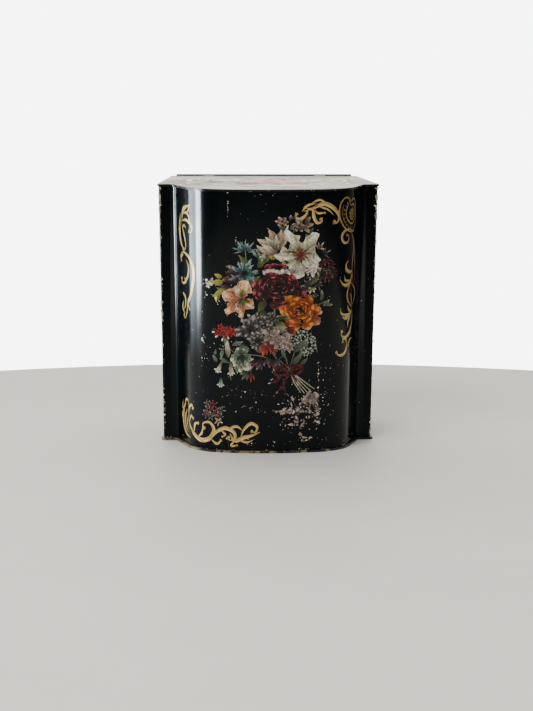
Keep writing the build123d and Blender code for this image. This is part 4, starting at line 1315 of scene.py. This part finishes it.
# Wear down the edges of the ears, left (-1) and right (1): (height, spread, count, largest). High on the
# left ear, at 146 and 155 mm, the dense pale flakes are partly wear and partly a painted highlight standing
# in for the light on the rolled edge
edgeWear = {
    "cornerCount": 110,
    "ears": {
        # left ear: the rows at 146 and 155 mm are partly a painted highlight along the edge, the rest is
        # wear
        -1: [(82, 60, 90, 0.4), (86, 9, 46, 0.8), (20, 6, 24, 0.7), (118, 12, 26, 0.45), (146, 9, 60, 0.5),
             (155, 4, 50, 0.9)],
        1: [(82, 60, 90, 0.4), (150, 9, 46, 0.8), (8, 6, 24, 0.7), (118, 12, 26, 0.45), (146, 9, 12, 0.5),
            (155, 4, 16, 0.9)],
    },
}
flakeSheet = Sheet(wrapBody, 0.28, 0.002)
dice = np.random.default_rng(170)
scuff = smoothLine([(-5, 113.0), (0, 114.6), (6, 113.4), (13, 113.8), (20, 114.2), (26, 115.2)], 90)
ragged = (0.95 + 0.4 * np.sin(np.arange(90) * 0.9) * np.sin(np.arange(90) * 0.37)
          + dice.uniform(-0.3, 0.3, 90))
ribbonAlong(flakeSheet, scuff, np.clip(ragged, 0.35, 1.5), "pinkPrimer", 0.75)
for n, (u, z, spreadU, spreadZ, count, small, large, ink) in enumerate(flakeFields):
    across = u + spreadU * np.clip(dice.normal(0, 0.55, count), -1.2, 1.2)
    up = np.clip(z + spreadZ * np.clip(dice.normal(0, 0.55, count), -1.2, 1.2), 2.2, lidTop - 1.6)
    size = small + (large - small) * dice.uniform(0, 1, count) ** 2.2
    flakes(flakeSheet, np.clip(across, -90, 90), up, size, ink, seed=171 + n)
for side in (-1, 1):
    # pale flakes along each ear's edge; high on the left ear they are partly a painted highlight
    for middle, spread, count, large in edgeWear["ears"][side]:
        up = np.clip(dice.normal(middle, spread, count), 2.5, lidTop - 2.5)
        size = 0.1 + large * dice.uniform(0, 1, count) ** 2.2
        run = side * (earRun - 0.3 - np.abs(dice.normal(0, 0.45, count)))
        flakes(flakeSheet, run, up, size, "primer", seed=205 + count)
    count = edgeWear["cornerCount"]
    up = 2.5 + (lidTop - 5) * dice.uniform(0, 1, count)
    run = side * (cornerRun - 1.5 + dice.normal(0, 0.8, count))
    size = 0.12 + 0.6 * dice.uniform(0, 1, count) ** 2.5
    flakes(flakeSheet, run, up, size, "primer", seed=215 + side)
finishPiece(flakeSheet, "paint_flakes", "flakes")


rimOut = 0.9    # how far the lid's rim stands outside the front panel


def wrapRim(u, z, lift):
    # The lid's straight rim, which follows the mouth's plan without the taper
    share = 1 - (1 - tin["baseShare"]) * (lidTop - z) / lidTop
    spot = wrapBody(u, z, rimOut + lift)
    spot[..., 0] /= share
    spot[..., 1] = ((spot[..., 1] / mm - earsY - tin["backY"]) / share + tin["backY"] + earsY) * mm
    return spot


rimWear = {"count": 34, "middle": 0.75, "smallest": 0.1, "range": 0.3}
rimSheet = Sheet(wrapRim, 0.02, 0.002)
run = dice.uniform(-earRun, earRun, rimWear["count"])
up = lidTop - rimWear["middle"] + dice.normal(0, 0.35, rimWear["count"]).clip(-0.5, 0.5)
size = rimWear["smallest"] + rimWear["range"] * dice.uniform(0, 1, rimWear["count"]) ** 2
flakes(rimSheet, run, up, size, "primer", seed=230)
finishPiece(rimSheet, "lid_rim_flakes", "flakes", "lid")
print("paint flakes done")

# Studio: a round pale floor, a pale background, and lights
studio = {
    "floorRadius": 0.66, "floorY": -0.38, "floor": (204, 203, 199), "floorLight": (222, 220, 215),
    "backdrop": 7.9, "room": 2.9, "roomFloor": 0.04,
    "lights": {    # place, what it faces, size, power, colour
        "windowLight": ((-2.13, -0.22, -0.07), (0.0, 0.0, 0.0), (0.55, 0.4), 56.0, (0.84, 0.95, 1.0)),
        "hazeLight": ((-2.05, 0.6, -0.07), (0.0, 0.0, 0.0), (1.0, 0.4), 18.0, (0.78, 0.93, 1.0)),
        "keyLight": ((-0.5, -0.8, 1.15), (0.0, 0.0, 0.08), (0.8, 0.6), 17.0, (1.0, 0.98, 0.95)),
        "topLight": ((0.1, 0.2, 1.3), (0.0, 0.0, 0.1), (1.2, 1.2), 7.0, (1.0, 1.0, 1.0)),
        "fillLight": ((1.1, -0.7, 0.7), (0.0, 0.0, 0.1), (0.6, 0.6), 1.6, (1.0, 0.97, 0.93)),
    },
}


def floorDisc(radius):
    # A disc worked out in polar coordinates, with its rim turned down out of sight
    rings = np.append(np.linspace(0, 0.998, 24), 1.0)[:, None]
    way = np.linspace(0, 2 * pi, 97)[None, :-1]
    x, y = radius * rings * np.cos(way), radius * rings * np.sin(way) + studio["floorY"]
    z = np.where(rings > 0.999, -0.012, 0.0) + 0 * x
    index = np.arange(x.size).reshape(x.shape)
    after = np.roll(index, -1, 1)
    quads = np.stack([index[:-1], index[1:], after[1:], after[:-1]], -1).reshape(-1, 4)
    mesh = bpy.data.meshes.new("studio_floor")
    mesh.from_pydata(np.stack([x, y, z], -1).reshape(-1, 3).tolist(), [], quads.tolist())
    floor = bpy.data.objects.new("studio_floor", mesh)
    bpy.context.scene.collection.objects.link(floor)
    material, tree, shader, where = newMaterial("paleFloor")
    grain = noise(tree, where, 9.0, 5.0, 0.6)
    speck = noise(tree, where, 260.0, 3.0, 0.6)
    colour = blend(tree, grain, paint(*studio["floor"]), paint(*studio["floorLight"]))
    setShader(shader, tree, Base_Color=colour, Roughness=0.62, Normal=bump(tree, speck, 0.08, 0.0004))
    mesh.materials.append(material)


def softLight(name, spot, target, size, power, colour):
    lamp = bpy.data.lights.new(name, "AREA")
    lamp.shape = "RECTANGLE"
    lamp.size, lamp.size_y = size
    lamp.energy = power
    lamp.color = colour
    holder = bpy.data.objects.new(name, lamp)
    holder.location = spot
    holder.rotation_euler = (Vector(target) - Vector(spot)).to_track_quat("-Z", "Y").to_euler()
    bpy.context.scene.collection.objects.link(holder)


floorDisc(studio["floorRadius"])
for name, light in studio["lights"].items():
    softLight(name, *light)

world = bpy.data.worlds.new("studio")
bpy.context.scene.world = world
world.use_nodes = True
sky = world.node_tree
sky.nodes.clear()
heading = place(sky, "ShaderNodeSeparateXYZ",
                {0: place(sky, "ShaderNodeTexCoord").outputs["Generated"]}).outputs
behind = rising(sky, heading["Y"], -0.1, 0.85)
above = rising(sky, heading["Z"], -0.15, 0.12)
leftward = opposite(sky, rising(sky, heading["X"], -0.2, 0.7, 0.75))
glow = times(sky, times(sky, behind, above), leftward)
glow = plus(sky, studio["roomFloor"], times(sky, glow, studio["room"]))
room = place(sky, "ShaderNodeBackground", {"Color": (1.0, 0.975, 0.9, 1.0), "Strength": glow})
backdrop = place(sky, "ShaderNodeBackground", {"Color": (0.9, 0.9, 0.9, 1.0),
                                               "Strength": studio["backdrop"]})
seen = place(sky, "ShaderNodeLightPath").outputs["Is Camera Ray"]
both = place(sky, "ShaderNodeMixShader", {0: seen, 1: room.outputs[0], 2: backdrop.outputs[0]})
end = place(sky, "ShaderNodeOutputWorld", {0: both.outputs[0]})

# Camera: a long lens a little above the lid, turned slightly to the right
view = {"place": (-0.0494, -1.239, 0.2575), "turn": 2.274, "down": 9.395, "roll": 0.202, "lens": 98.73}
lens = bpy.data.cameras.new("camera")
lens.lens, lens.sensor_width, lens.sensor_fit = view["lens"], 36.0, "AUTO"
camera = bpy.data.objects.new("camera", lens)
camera.matrix_world = (Matrix.Translation(view["place"])
                       @ Matrix.Rotation(radians(-view["turn"]), 4, "Z")
                       @ Matrix.Rotation(radians(90 - view["down"]), 4, "X")
                       @ Matrix.Rotation(radians(view["roll"]), 4, "Z"))
bpy.context.scene.collection.objects.link(camera)
bpy.context.scene.camera = camera
print("studio done")
